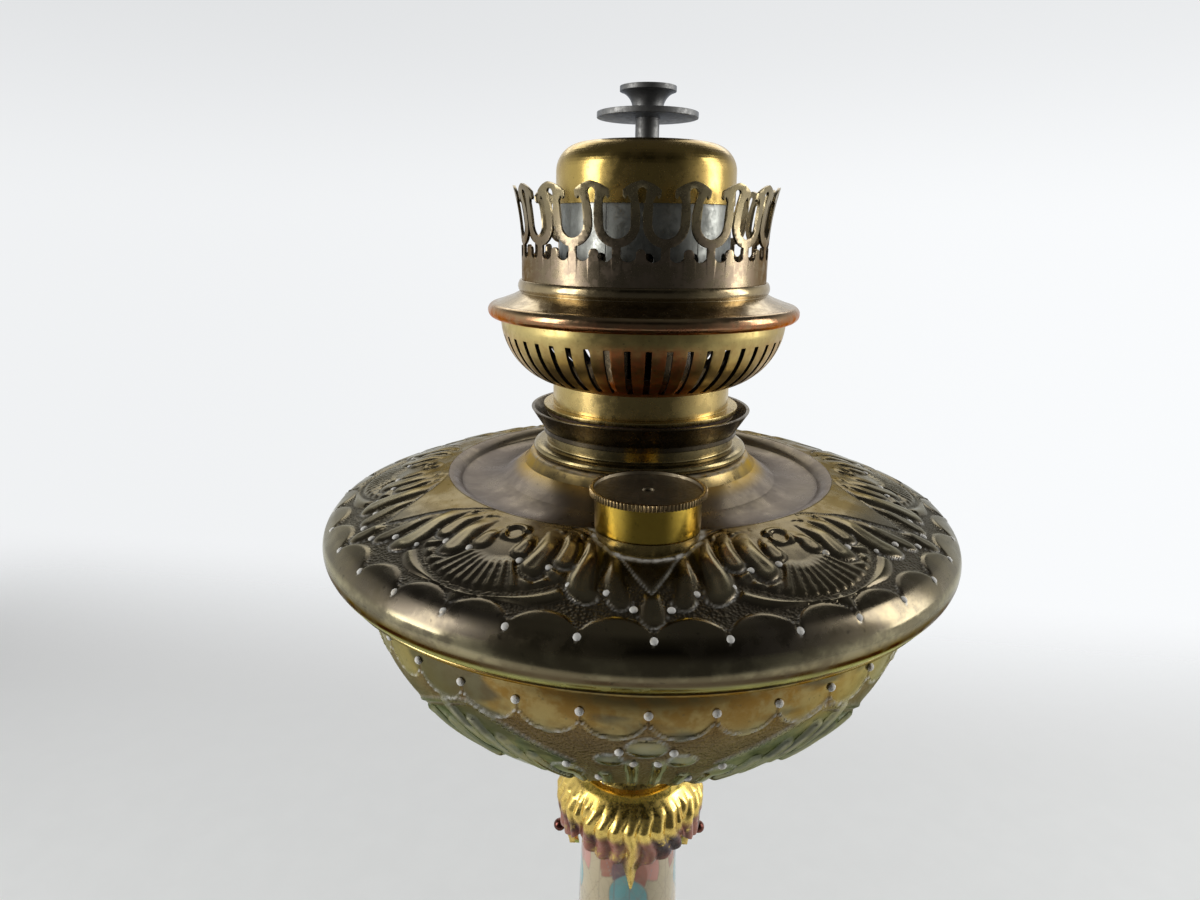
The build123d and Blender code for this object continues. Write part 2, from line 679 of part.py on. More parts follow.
def font_collar():
    bead_top = FONT_TOP + COLLAR_BEAD_HEIGHT
    return turned(
        Line((COLLAR_BORE, FONT_TOP - COLLAR_TAIL), (COLLAR_RADIUS, FONT_TOP - COLLAR_TAIL)),
        Line((COLLAR_RADIUS, FONT_TOP - COLLAR_TAIL), (COLLAR_RADIUS, FONT_TOP)),
        Line((COLLAR_RADIUS, FONT_TOP), (COLLAR_BEAD_RADIUS - COLLAR_BEAD_HEIGHT / 2, FONT_TOP)),
        CenterArc(
            (COLLAR_BEAD_RADIUS - COLLAR_BEAD_HEIGHT / 2, FONT_TOP + COLLAR_BEAD_HEIGHT / 2),
            COLLAR_BEAD_HEIGHT / 2, -90, 180,
        ),
        Line((COLLAR_BEAD_RADIUS - COLLAR_BEAD_HEIGHT / 2, bead_top), (COLLAR_RADIUS, bead_top)),
        Polyline((COLLAR_RADIUS, bead_top), (COLLAR_RADIUS, COLLAR_TOP), (COLLAR_BORE, COLLAR_TOP)),
        Line((COLLAR_BORE, COLLAR_TOP), (COLLAR_BORE, FONT_TOP - COLLAR_TAIL)),
    )


def drip_ring():
    inside = COLLAR_RADIUS + SLIP_FIT
    base = FONT_TOP + DRIP_SEAT
    band_top = base + DRIP_BAND
    rim = (DRIP_RIM_RADIUS - DRIP_WALL, base + DRIP_RISE)
    path = [Line((inside, base), (inside, band_top)), Line((inside, band_top), rim)]
    return spun(path, DRIP_WALL, Side.RIGHT)


def filler_neck():
    foot = extrude(Circle(FILLER_FOOT_RADIUS), FILLER_FOOT_TOP - SEAM)
    lip_end = (FLANGE_RADIUS - LIP_WIDTH, SEAM)
    filled = turned(
        *font_top_path(),
        Polyline((COLLAR_RADIUS + SLIP_FIT, FONT_TOP), (0, FONT_TOP), (0, SEAM), lip_end),
    )
    tail = FILLER_FOOT_TOP - SEAM - FILLER_FOOT_RISE - FILLER_TAIL
    pipe = Pos(0, 0, tail) * extrude(Circle(FILLER_TUBE_RADIUS), FILLER_TOP - SEAM - tail)
    bore = extrude(Circle(FILLER_BORE), FILLER_TOP - SEAM)
    place = Pos(0, -FILLER_REACH, SEAM)
    return (place * foot - filled) + place * pipe - place * bore


def filler_washer():
    ring = Circle(FILLER_TUBE_RADIUS) - Circle(FILLER_BORE)
    return Pos(0, -FILLER_REACH, FILLER_TOP) * extrude(ring, CAP_WASHER_HEIGHT)


def filler_cap():
    skirt_base = FILLER_FOOT_TOP + SEAT_GAP
    rim_base = CAP_TOP - CAP_RIM_HEIGHT
    recess_floor = CAP_TOP - CAP_RECESS
    body = Pos(0, 0, skirt_base) * extrude(Circle(CAP_RADIUS), recess_floor - skirt_base)
    rim_face = toothed(CAP_RIM_RADIUS, CAP_TOOTH_DEPTH, CAP_TEETH)
    rim = Pos(0, 0, rim_base) * extrude(rim_face, CAP_RIM_HEIGHT)
    recess_radius = CAP_RIM_RADIUS - CAP_RIM_WALL
    recess = Pos(0, 0, recess_floor) * extrude(Circle(recess_radius), CAP_RECESS)
    dimple_floor = recess_floor - CAP_DIMPLE_DEPTH
    dimple = Pos(0, 0, dimple_floor) * extrude(Circle(CAP_DIMPLE_RADIUS), CAP_DIMPLE_DEPTH)
    bore_face = Circle(FILLER_TUBE_RADIUS + THREAD_FIT)
    bore = Pos(0, 0, skirt_base) * extrude(bore_face, CAP_UNDERSIDE - skirt_base)
    return Pos(0, -FILLER_REACH, 0) * (body + rim - recess - dimple - bore)


def burner_gasket():
    return tube(COLLAR_RADIUS, COLLAR_BORE, COLLAR_TOP, BURNER_BASE)


def burner_base():
    thread_bore = THREAD_RADIUS - THREAD_WALL
    neck_bore = NECK_RADIUS - NECK_WALL
    flange_top = BURNER_BASE + BURNER_FLANGE
    body = turned_points(
        (thread_bore, BURNER_BASE - THREAD_LENGTH),
        (THREAD_RADIUS, BURNER_BASE - THREAD_LENGTH),
        (THREAD_RADIUS, BURNER_BASE),
        (BURNER_FLANGE_RADIUS, BURNER_BASE),
        (BURNER_FLANGE_RADIUS, flange_top),
        (NECK_RADIUS, flange_top),
        (NECK_RADIUS, NECK_TOP),
        (neck_bore, NECK_TOP),
        (neck_bore, flange_top),
        (thread_bore, flange_top),
    )
    return body - winder_line(BUSH_RADIUS + SLIP_FIT, 0, NECK_RADIUS)


def gallery_underside(radius):
    """Height of the gallery plate's sloping underside at a radius between its step and its roll."""
    run = GALLERY_RADIUS - GALLERY_ROLL - GALLERY_STEP_RADIUS
    fall = GALLERY_SLOPE_DROP - GALLERY_STEP_DROP
    slope = fall / run
    upper_side = GALLERY - GALLERY_STEP_DROP - slope * (radius - GALLERY_STEP_RADIUS)
    return upper_side - GALLERY_WALL * sqrt(1 + slope**2)


def burner_basket():
    rim_top = gallery_underside(BASKET_RADIUS) - SEAT_GAP
    bowl_top = NECK_TOP + BASKET_DEPTH
    path = [
        Line((WICK_TUBE_RADIUS + SLIP_FIT, NECK_TOP), (NECK_RADIUS, NECK_TOP)),
        SagittaArc((NECK_RADIUS, NECK_TOP), (BASKET_RADIUS, bowl_top), -BASKET_SAG),
        Line((BASKET_RADIUS, bowl_top), (BASKET_RADIUS, rim_top)),
    ]
    basket = spun(path, BASKET_WALL, Side.LEFT)
    slot_middle = NECK_TOP + (SLOT_BOTTOM + SLOT_TOP) / 2
    slot_face = Pos(0, slot_middle) * Rectangle(SLOT_WIDTH, SLOT_TOP - SLOT_BOTTOM)
    slot = outward(slot_face, NECK_RADIUS - BASKET_WALL, BASKET_RADIUS + BASKET_WALL)
    return basket - around(SLOT_COUNT, slot)


def gallery_plate():
    roll_radius = GALLERY_RADIUS - GALLERY_ROLL
    roll_centre = GALLERY - GALLERY_SLOPE_DROP - GALLERY_ROLL
    seat_edge = CROWN_RADIUS + GALLERY_WALL / 2
    bead_middle = (GALLERY_BEAD_RADIUS, GALLERY - GALLERY_BEAD_DROP / 2)
    bead_foot = (GALLERY_BEAD_RADIUS - GALLERY_WALL / 2, GALLERY - GALLERY_BEAD_DROP)
    roll_base = roll_centre - GALLERY_ROLL
    step = (GALLERY_STEP_RADIUS, GALLERY - GALLERY_STEP_DROP)
    path = [
        Line((GALLERY_SEAT_RADIUS, GALLERY), (seat_edge, GALLERY)),
        ThreePointArc((seat_edge, GALLERY), bead_middle, bead_foot),
        Line(bead_foot, step),
        Line(step, (roll_radius, GALLERY - GALLERY_SLOPE_DROP)),
        CenterArc((roll_radius, roll_centre), GALLERY_ROLL, 90, -180),
        Line((roll_radius, roll_base), (BASKET_RADIUS + SKIRT_PLAY, roll_base)),
    ]
    return spun(path, GALLERY_WALL, Side.RIGHT)


def crown_notch():
    """The gap between two prongs: a round-bottomed notch that the prongs' hooked caps close in on."""
    half_pitch = (CROWN_RADIUS + CROWN_FLARE) * sin(pi / PRONG_COUNT)
    above = CROWN_HEIGHT + CROWN_WALL
    hook = HOOK_EDGE + HOOK_WIDTH / 2
    side = Polyline(
        (NOTCH_RADIUS, NOTCH_CENTRE),
        (NOTCH_RADIUS, HOOK_TIP - HOOK_WIDTH / 2),
        (HOOK_EDGE + HOOK_WIDTH, HOOK_ARCH),
        (hook, HOOK_TIP),
        (HOOK_EDGE, HOOK_TIP + HOOK_WIDTH / 2),
        (HOOK_EDGE, CAP_SIDE),
    )
    half = [
        CenterArc((0, NOTCH_CENTRE), NOTCH_RADIUS, 270, 90),
        *side.edges(),
        ThreePointArc(
            (HOOK_EDGE, CAP_SIDE),
            ((HOOK_EDGE + half_pitch) / 2, (CAP_SIDE + 2 * CROWN_HEIGHT) / 3),
            (half_pitch, CROWN_HEIGHT),
        ),
        *Polyline((half_pitch, CROWN_HEIGHT), (half_pitch, above), (0, above)).edges(),
    ]
    return mirrored(half)


def crown_opening():
    """The keyhole under a prong: a drop over a narrow waist, and a wide foot with a round tab in it."""
    half_pitch = CROWN_RADIUS * sin(pi / PRONG_COUNT)
    arm_radius = NOTCH_RADIUS + ARM_WIDTH
    stem = half_pitch - STEM_HALF
    arm_foot = NOTCH_CENTRE - sqrt(arm_radius**2 - STEM_HALF**2)
    arm_middle = (half_pitch - arm_radius * cos(pi / 4), NOTCH_CENTRE - arm_radius * sin(pi / 4))
    drop_centre = DROP_TOP - DROP_HALF
    tab_centre = TAB_TOP - TAB_HALF
    lobe_bottom = ((TAB_HALF + stem) / 2, BAND_HEIGHT)
    half = [
        CenterArc((0, tab_centre), TAB_HALF, 90, -90),
        Line((TAB_HALF, tab_centre), (TAB_HALF, LOBE_SHOULDER)),
        ThreePointArc((TAB_HALF, LOBE_SHOULDER), lobe_bottom, (stem, LOBE_SHOULDER)),
        Line((stem, LOBE_SHOULDER), (stem, arm_foot)),
        ThreePointArc((stem, arm_foot), arm_middle, (half_pitch - arm_radius, NOTCH_CENTRE)),
        Line((half_pitch - arm_radius, NOTCH_CENTRE), (KEYHOLE_HALF, KEYHOLE_WAIST)),
        Line((KEYHOLE_HALF, KEYHOLE_WAIST), (DROP_HALF, drop_centre)),
        CenterArc((0, drop_centre), DROP_HALF, 0, 90),
    ]
    return mirrored(half)


def gallery_crown():
    flare = [(CROWN_RADIUS, GALLERY + CROWN_STRAIGHT), (CROWN_RADIUS + CROWN_FLARE, GALLERY + CROWN_HEIGHT)]
    path = [
        Line((CROWN_RADIUS, GALLERY), flare[0]),
        TangentArc(*flare, tangent=(0, 1)),
    ]
    ring = spun(path, CROWN_WALL, Side.LEFT)
    inside = CROWN_RADIUS - CUT_MARGIN
    outside = CROWN_RADIUS + CROWN_FLARE + CUT_MARGIN
    notch = Pos(0, 0, GALLERY) * outward(crown_notch(), inside, outside)
    opening = Pos(0, 0, GALLERY) * outward(crown_opening(), inside, outside)
    half_step = 180 / PRONG_COUNT
    cuts = around(PRONG_COUNT, notch, CROWN_TURN + half_step) + around(PRONG_COUNT, opening, CROWN_TURN)
    return ring - cuts


def air_plate():
    plate = tube(AIR_PLATE_RADIUS, AIR_PLATE_BORE, GALLERY, GALLERY + AIR_PLATE_THICKNESS)
    hole = Pos(AIR_HOLE_CIRCLE, 0, GALLERY) * extrude(Circle(AIR_HOLE_RADIUS), AIR_PLATE_THICKNESS)
    return plate - around(AIR_HOLE_COUNT, hole)


def dome_sleeve():
    top = GALLERY + DOME_TOP - DOME_SHOULDER
    sleeve = tube(SLEEVE_RADIUS, SLEEVE_RADIUS - SLEEVE_WALL, GALLERY + AIR_PLATE_THICKNESS, top)
    hole_face = Pos(0, GALLERY + SLEEVE_HOLE_RISE) * Circle(SLEEVE_HOLE_RADIUS)
    hole = outward(hole_face, SLEEVE_RADIUS - 2 * SLEEVE_WALL, SLEEVE_RADIUS + SLEEVE_WALL)
    return sleeve - around(SLEEVE_HOLE_COUNT, hole)


def burner_dome():
    shoulder = DOME_RADIUS - DOME_SHOULDER
    spring = GALLERY + DOME_TOP - DOME_SHOULDER
    path = [
        Line((DOME_RADIUS, GALLERY + DOME_EDGE), (DOME_RADIUS, spring)),
        CenterArc((shoulder, spring), DOME_SHOULDER, 0, 90),
        Line((shoulder, GALLERY + DOME_TOP), (DOME_HOLE, GALLERY + DOME_TOP)),
    ]
    return spun(path, DOME_WALL, Side.LEFT)


# Air duct from the basket through the wick to the draught tube, at the front
DUCT_BASE = NECK_TOP + DUCT_RISE
DUCT_TOP = DUCT_BASE + DUCT_HEIGHT


def duct_block(width, bottom, top, reach):
    """A block of the duct's section that runs forward from the lamp's axis."""
    return Pos(0, -reach / 2, (bottom + top) / 2) * Box(width, reach, top - bottom)


def draught_tube():
    top = GALLERY + DRAUGHT_TOP
    pipe = Pos(0, 0, DUCT_BASE) * extrude(Circle(DRAUGHT_RADIUS), top - DUCT_BASE)
    trunk = Pos(0, 0, DUCT_BASE) * extrude(Circle(WICK_TUBE_RADIUS), DUCT_HEIGHT)
    duct = duct_block(DUCT_WIDTH, DUCT_BASE, DUCT_TOP, WICK_TUBE_RADIUS) & trunk
    inner_base = DUCT_BASE + DUCT_WALL
    bore = Pos(0, 0, inner_base) * extrude(Circle(DRAUGHT_RADIUS - DRAUGHT_WALL), top - inner_base)
    way = duct_block(DUCT_WIDTH - 2 * DUCT_WALL, inner_base, DUCT_TOP - DUCT_WALL, 2 * WICK_TUBE_RADIUS)
    return pipe + duct - bore - way


def wick_tube():
    bore = WICK_TUBE_RADIUS - WICK_TUBE_WALL
    pipe = tube(WICK_TUBE_RADIUS, bore, GALLERY - WICK_TUBE_TAIL, GALLERY + WICK_TUBE_TOP)
    window = duct_block(DUCT_WIDTH, DUCT_BASE, DUCT_TOP, 2 * WICK_TUBE_RADIUS)
    gear_room = GEAR_RADIUS + SEAT_GAP
    gear_half = GEAR_SPREAD + GEAR_WIDTH / 2 + SEAT_GAP
    gear_block = Box(WICK_TUBE_RADIUS, 2 * gear_half, 2 * gear_room)
    return pipe - window - Pos(WICK_TUBE_RADIUS, 0, SHAFT_HEIGHT) * gear_block


def wick():
    tail_top = GALLERY - WICK_TUBE_TAIL
    sleeve = tube(WICK_RADIUS, WICK_BORE, tail_top, GALLERY + WICK_TUBE_TOP + WICK_STAND)
    slot_width = DUCT_WIDTH + 2 * WICK_SLOT_PLAY
    slot = duct_block(slot_width, tail_top, DUCT_TOP + WICK_DOWN + WICK_SLOT_PLAY, 2 * WICK_RADIUS)
    tail = tube(WICK_RADIUS, WICK_BORE, tail_top - WICK_TAIL_LENGTH, tail_top)
    strip = Box(2 * WICK_RADIUS, WICK_TAIL_WIDTH, WICK_TAIL_LENGTH)
    return sleeve - slot + (tail & Pos(0, 0, tail_top - WICK_TAIL_LENGTH / 2) * strip)


def spreader_socket():
    hub_radius = STEM_RADIUS + SLIP_FIT + SOCKET_WALL
    base = GALLERY + SOCKET_TOP - SOCKET_HEIGHT
    hub = Circle(hub_radius)
    leg = Pos(DRAUGHT_RADIUS / 2, 0) * Rectangle(DRAUGHT_RADIUS, SOCKET_LEG_WIDTH)
    inside = Circle(DRAUGHT_RADIUS - DRAUGHT_WALL)
    spider = (hub + around(SOCKET_LEGS, leg, 90)) & inside
    return Pos(0, 0, base) * extrude(spider - Circle(STEM_RADIUS + SLIP_FIT), SOCKET_HEIGHT)


def spreader_stem():
    tail = GALLERY + STEM_TAIL
    seat = GALLERY + SOCKET_TOP
    top = GALLERY + DISC_HEIGHT + DISC_THICKNESS
    return turned_points(
        (0, tail), (STEM_RADIUS, tail), (STEM_RADIUS, seat), (SHOULDER_RADIUS, seat),
        (SHOULDER_RADIUS, seat + SHOULDER_HEIGHT), (STEM_RADIUS, seat + SHOULDER_HEIGHT),
        (STEM_RADIUS, top), (0, top),
    )


def spreader_disc():
    base = GALLERY + DISC_HEIGHT
    return tube(DISC_RADIUS, STEM_RADIUS + SLIP_FIT, base, base + DISC_THICKNESS)


def spreader_button():
    base = GALLERY + DISC_HEIGHT + DISC_THICKNESS
    edge = base + BUTTON_HEIGHT - BUTTON_EDGE
    top = base + BUTTON_HEIGHT
    dish = top - BUTTON_DISH
    return turned(
        Polyline((0, base), (BUTTON_FOOT_RADIUS, base), (BUTTON_FOOT_RADIUS, base + BUTTON_FOOT)),
        TangentArc((BUTTON_FOOT_RADIUS, base + BUTTON_FOOT), (BUTTON_RADIUS, edge), tangent=(0, 1)),
        Polyline((BUTTON_RADIUS, edge), (BUTTON_RADIUS, top), (BUTTON_RADIUS - BUTTON_EDGE, top)),
        Polyline((BUTTON_RADIUS - BUTTON_EDGE, top), (BUTTON_FOOT_RADIUS, dish), (0, dish), (0, base)),
    )


def winder_shaft():
    return winder_line(SHAFT_RADIUS, -SHAFT_TAIL, KNOB_START + KNOB_THICKNESS)


def winder_gears():
    face = toothed(GEAR_RADIUS, GEAR_TOOTH_DEPTH, GEAR_TEETH) - Circle(SHAFT_RADIUS + SLIP_FIT)
    place = Plane((SHAFT_OFFSET, -GEAR_WIDTH / 2, SHAFT_HEIGHT), (1, 0, 0), (0, 1, 0))
    gear = extrude(place * face, GEAR_WIDTH)
    return [Pos(0, side * GEAR_SPREAD, 0) * gear for side in (-1, 1)]


def winder_bracket():
    reach = SHAFT_OFFSET + BRACKET_REACH
    middle = BRACKET_INSIDE + BRACKET_EAR / 2
    block = Pos(reach / 2, middle, SHAFT_HEIGHT) * Box(reach, BRACKET_EAR, 2 * BRACKET_HALF)
    base = SHAFT_HEIGHT - BRACKET_HALF
    tube_space = Pos(0, 0, base) * extrude(Circle(WICK_TUBE_RADIUS), 2 * BRACKET_HALF)
    bearing = winder_line(SHAFT_RADIUS + SLIP_FIT, -NECK_RADIUS, NECK_RADIUS)
    ear = block - tube_space - bearing
    return [ear, ear.mirror(Plane.XZ)]


def winder_bush():
    barrel = winder_line(BUSH_RADIUS, BUSH_INSIDE, BUSH_OUTSIDE)
    nut_start = sqrt(NECK_RADIUS**2 - (SHAFT_OFFSET - BUSH_NUT_RADIUS) ** 2) + SEAT_GAP
    place = Plane((SHAFT_OFFSET, nut_start, SHAFT_HEIGHT), (1, 0, 0), (0, 1, 0))
    nut = extrude(place * RegularPolygon(BUSH_NUT_RADIUS, 6), BUSH_NUT_HEIGHT)
    return barrel + nut - winder_line(SHAFT_RADIUS + SLIP_FIT, 0, KNOB_START)


def winder_knob():
    place = Plane((SHAFT_OFFSET, KNOB_START, SHAFT_HEIGHT), (1, 0, 0), (0, 1, 0))
    wheel = extrude(place * toothed(KNOB_RADIUS, KNOB_TOOTH_DEPTH, KNOB_TEETH), KNOB_THICKNESS)
    hub = winder_line(KNOB_HUB_RADIUS, KNOB_START - KNOB_HUB_LENGTH, KNOB_START)
    end = KNOB_START + KNOB_THICKNESS
    dish_floor = end - KNOB_DISH
    dish = winder_line(KNOB_DISH_RADIUS, dish_floor, end) - winder_line(KNOB_HUB_RADIUS, dish_floor, end)
    return wheel + hub - dish - winder_line(SHAFT_RADIUS + SLIP_FIT, 0, end)


PIECES = [
    foot_shell, foot_plate, foot_weight, tie_rod, tie_rod_nut, tie_rod_washer, column_cup, column_shaft,
    capital, capital_screws, font_boss, font_bowl, font_top, font_collar, drip_ring,
    filler_neck, filler_washer, filler_cap,
    burner_gasket, burner_base, burner_basket, wick_tube, draught_tube, wick, spreader_socket,
    spreader_stem, spreader_disc, spreader_button,
    gallery_plate, gallery_crown, air_plate, dome_sleeve, burner_dome,
    winder_shaft, winder_gears, winder_bracket, winder_bush, winder_knob,
]

for piece in PIECES:
    shape = piece()
    solids = shape if isinstance(shape, list) else [shape]
    bodies = [solid for item in solids for solid in item.solids()]
    export_step(Compound(children=bodies) if len(bodies) > 1 else bodies[0], f"parts/{piece.__name__}.step")
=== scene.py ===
import json
from math import cos, pi, radians, sin

import bmesh
import bpy
import numpy as np
from bpy.props import FloatProperty, FloatVectorProperty, IntProperty, PointerProperty
from mathutils import Matrix, Vector


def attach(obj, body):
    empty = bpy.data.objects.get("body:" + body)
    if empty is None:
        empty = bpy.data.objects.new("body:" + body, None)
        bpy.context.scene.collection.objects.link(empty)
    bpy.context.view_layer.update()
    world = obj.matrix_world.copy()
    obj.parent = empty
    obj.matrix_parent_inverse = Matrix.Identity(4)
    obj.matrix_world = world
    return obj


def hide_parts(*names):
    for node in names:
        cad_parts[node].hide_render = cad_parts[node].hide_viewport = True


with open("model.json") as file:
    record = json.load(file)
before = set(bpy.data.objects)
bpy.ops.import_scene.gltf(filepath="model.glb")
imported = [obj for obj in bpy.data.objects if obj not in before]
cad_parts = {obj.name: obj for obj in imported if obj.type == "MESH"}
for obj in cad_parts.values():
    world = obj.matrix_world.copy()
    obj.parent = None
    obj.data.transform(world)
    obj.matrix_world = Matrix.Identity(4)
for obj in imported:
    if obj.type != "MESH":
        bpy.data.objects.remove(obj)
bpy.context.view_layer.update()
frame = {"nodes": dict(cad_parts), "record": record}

bl_info = {
    "name": "Paraffin Table Lamp",
    "version": (1, 0, 0),
    "blender": (4, 5, 0),
    "location": "View3D > Sidebar > Lamp",
    "description": "Embossed font, leaf capital, painted column, foot and finishes of a paraffin lamp",
    "category": "Object",
}

MM = 0.001

# Radii, heights and reaches in millimetres, repeating units in degrees
FONT_RADIUS, FONT_UNIT, RIM_LOBE = 73.4, 60, 10
SHOULDER_START, SHOULDER_EDGE, RIM_LIP = 45.1, (70.5, 326.1), (70.5, 315.7)
FAN_ROOT, FAN_RIB_ANGLE = 51.0, 8.6
BOWL_RADIUS, BOWL_TOP, BOWL_DEPTH, BOWL_UNIT, BOWL_SCALLOPS = 64.0, 310.0, 44.0, 120, 33
BOWL_GIRTH, BOWL_CURVE = 56.0, 54.0
FILLER_REACH = 43.5

# Metres within which points of a CAD mesh merge, and steps round a turned piece
MERGE_DISTANCE, LATHE_STEPS = 2e-6, 192

# Finishes: fineness of the turning marks along and round the axis, edge tint of a band as a multiple of its
# colour, flattening of the dark streaks, and density of the punched ground
TURNING_FINENESS, TURNING_STRETCH = 2600.0, 12.0
BAND_EDGE, STREAK_SQUEEZE, PUNCH_SCALE = 2.5, 3.2, 1500.0


def colour(label, text, value):
    return FloatVectorProperty(name=label, description=text, default=value, subtype="COLOR", min=0, max=1)


def count(label, text, value):
    return IntProperty(name=label, description=text, default=value)


def amount(label, text, value, **more):
    return FloatProperty(name=label, description=text, default=value, **more)


class LampSizes(bpy.types.PropertyGroup):
    """Sizes and counts of the ornament."""

    rim_beads: count("Rim beads", "Beads between the lobes of the font's rim", 36)
    bowl_beads: count("Bowl beads", "Beads over the scallops of the bowl", 33)
    foot_beads: count("Foot beads", "Beads on the tread of the foot", 60)
    bead_radius: amount("Bead radius", "Radius of the punched beads", 0.00075, unit="LENGTH")
    relief: amount("Relief", "Height of the embossing", 0.85, min=0, max=2, subtype="FACTOR")


class LampColours(bpy.types.PropertyGroup):
    """Colours of the finishes."""

    brass: colour("Brass", "Clean rubbed brass", (0.46, 0.355, 0.135))
    bronze: colour("Bronze", "Dark bronzing of the font", (0.09, 0.075, 0.055))
    olive: colour("Olive", "Greenish bronzing of the bowl", (0.32, 0.32, 0.17))
    copper: colour("Copper", "Copper-red heat colour", (0.52, 0.18, 0.065))
    heat: colour("Heat", "Heat colour of the prongs", (0.19, 0.147, 0.105))
    gilt: colour("Gilt", "Gilding of the capital", (0.92, 0.68, 0.19))
    chalk: colour("Polish residue", "Dried polish in the hollows", (0.72, 0.71, 0.67))
    zinc: colour("Zinc", "Grey tinned sheet", (0.36, 0.365, 0.33))
    iron: colour("Iron", "Scaled iron of the flame spreader", (0.24, 0.236, 0.225))
    glaze: colour("Glaze", "Cream glaze of the column", (0.52, 0.43, 0.26))


class LampStage(bpy.types.PropertyGroup):
    """Camera, light and floor."""

    lens: amount("Lens", "Focal length on a 36 mm sensor", 24.27)
    strip_power: amount("Panel power", "Power of each side panel", 4.2, unit="POWER")
    top_power: amount("Back power", "Power of the light behind", 9.0, unit="POWER")
    floor: colour("Floor", "Paper that the lamp stands on", (0.87, 0.88, 0.87))


class Tree:
    """Short ways to add and join nodes."""

    def __init__(self, tree):
        self.tree = tree

    def add(self, kind, sockets=None, **settings):
        node = self.tree.nodes.new(kind)
        for key, value in settings.items():
            setattr(node, key, value)
        self.give(node, sockets or {})
        return node

    def give(self, node, sockets):
        for key, value in sockets.items():
            self.feed(value, node.inputs[key])

    def feed(self, value, socket):
        if isinstance(value, bpy.types.NodeSocket):
            self.tree.links.new(value, socket)
        else:
            socket.default_value = value

    def math(self, operation, *values, clamp=False):
        sockets = dict(enumerate(values))
        return self.add("ShaderNodeMath", sockets, operation=operation, use_clamp=clamp).outputs[0]

    def times(self, first, second, clamp=False):
        return self.math("MULTIPLY", first, second, clamp=clamp)

    def mix(self, share, first, second):
        sockets = {0: share, 6: first, 7: second}
        return self.add("ShaderNodeMix", sockets, data_type="RGBA").outputs[2]

    def ramp(self, value, low, high, start=0.0, end=1.0):
        sockets = {"Value": value, "From Min": low, "From Max": high, "To Min": start, "To Max": end}
        return self.add("ShaderNodeMapRange", sockets, interpolation_type="SMOOTHSTEP").outputs[0]

    def noise(self, vector, scale, detail=4.0, rough=0.55):
        sockets = {"Vector": vector, "Scale": scale, "Detail": detail, "Roughness": rough}
        return self.add("ShaderNodeTexNoise", sockets).outputs["Fac"]

    def cells(self, vector, scale, feature="F1"):
        sockets = {"Vector": vector, "Scale": scale}
        return self.add("ShaderNodeTexVoronoi", sockets, feature=feature).outputs["Distance"]

    def parts(self, vector):
        return self.add("ShaderNodeSeparateXYZ", {"Vector": vector}).outputs

    def join(self, x, y, z):
        return self.add("ShaderNodeCombineXYZ", {"X": x, "Y": y, "Z": z}).outputs[0]

    def mark(self, name):
        """A value that the mesh carries at its points."""
        return self.add("ShaderNodeAttribute", attribute_name=name).outputs["Fac"]

    def bump(self, strength, distance, height):
        sockets = {"Strength": strength, "Distance": distance, "Height": height}
        return self.add("ShaderNodeBump", sockets).outputs[0]


def rgba(value, scale=1.0):
    return (*(scale * part for part in value), 1.0)


def node_group(name, kind, inputs, outputs, fill):
    """A node group, made once. fill gets the tree and its inputs and returns its outputs by name."""
    if name in bpy.data.node_groups:
        return bpy.data.node_groups[name]
    made = bpy.data.node_groups.new(name, kind)
    for way, sockets in (("INPUT", inputs), ("OUTPUT", outputs)):
        for label, sort in sockets.items():
            made.interface.new_socket(label, in_out=way, socket_type="NodeSocket" + sort)
    t = Tree(made)
    entry, leave = t.add("NodeGroupInput"), t.add("NodeGroupOutput")
    t.give(leave, fill(t, entry.outputs))
    return made


def tarnish_group():
    """Blotches, haze and specks from noise of three sizes."""

    def fill(t, given):
        place, scale = given["Vector"], given["Scale"]
        spot = t.noise(place, scale, 5.0, 0.6)
        fine = t.noise(place, t.times(scale, 9.0), 4.0, 0.65)
        speck = t.noise(place, t.times(scale, 40.0), 2.0, 0.5)
        joined = t.math("ADD", t.times(spot, 0.72), t.times(fine, 0.28))
        return {
            "Blotch": t.ramp(joined, 0.36, 0.62),
            "Haze": t.ramp(fine, 0.30, 0.72),
            "Specks": t.ramp(speck, 0.66, 0.74),
        }

    outputs = {"Blotch": "Float", "Haze": "Float", "Specks": "Float"}
    return node_group("Tarnish", "ShaderNodeTree", {"Vector": "Vector", "Scale": "Float"}, outputs, fill)


def turning_group():
    """Fine lines round the lamp's axis, as spinning and rubbing leave them."""

    def fill(t, given):
        x, y, z = t.parts(given["Vector"])
        flat = t.join(x, y, 0.0)
        radius = t.add("ShaderNodeVectorMath", {0: flat}, operation="LENGTH").outputs["Value"]
        across = t.times(t.math("ADD", radius, z), TURNING_FINENESS)
        stretched = t.join(t.times(x, TURNING_STRETCH), t.times(y, TURNING_STRETCH), across)
        lines = t.noise(stretched, 1.0, 3.0, 0.7)
        scratch = t.noise(given["Vector"], 900.0, 2.0, 0.6)
        return {"Grain": t.math("ADD", t.times(lines, 0.7), t.times(scratch, 0.3))}

    return node_group("Turning marks", "ShaderNodeTree", {"Vector": "Vector"}, {"Grain": "Float"}, fill)


def new_material(name):
    """A new material with its tree, shader and object coordinates."""
    material = bpy.data.materials.new(name)
    material.use_nodes = True
    tree = Tree(material.node_tree)
    shader = material.node_tree.nodes["Principled BSDF"]
    place = tree.add("ShaderNodeTexCoord").outputs["Object"]
    return material, tree, shader, place


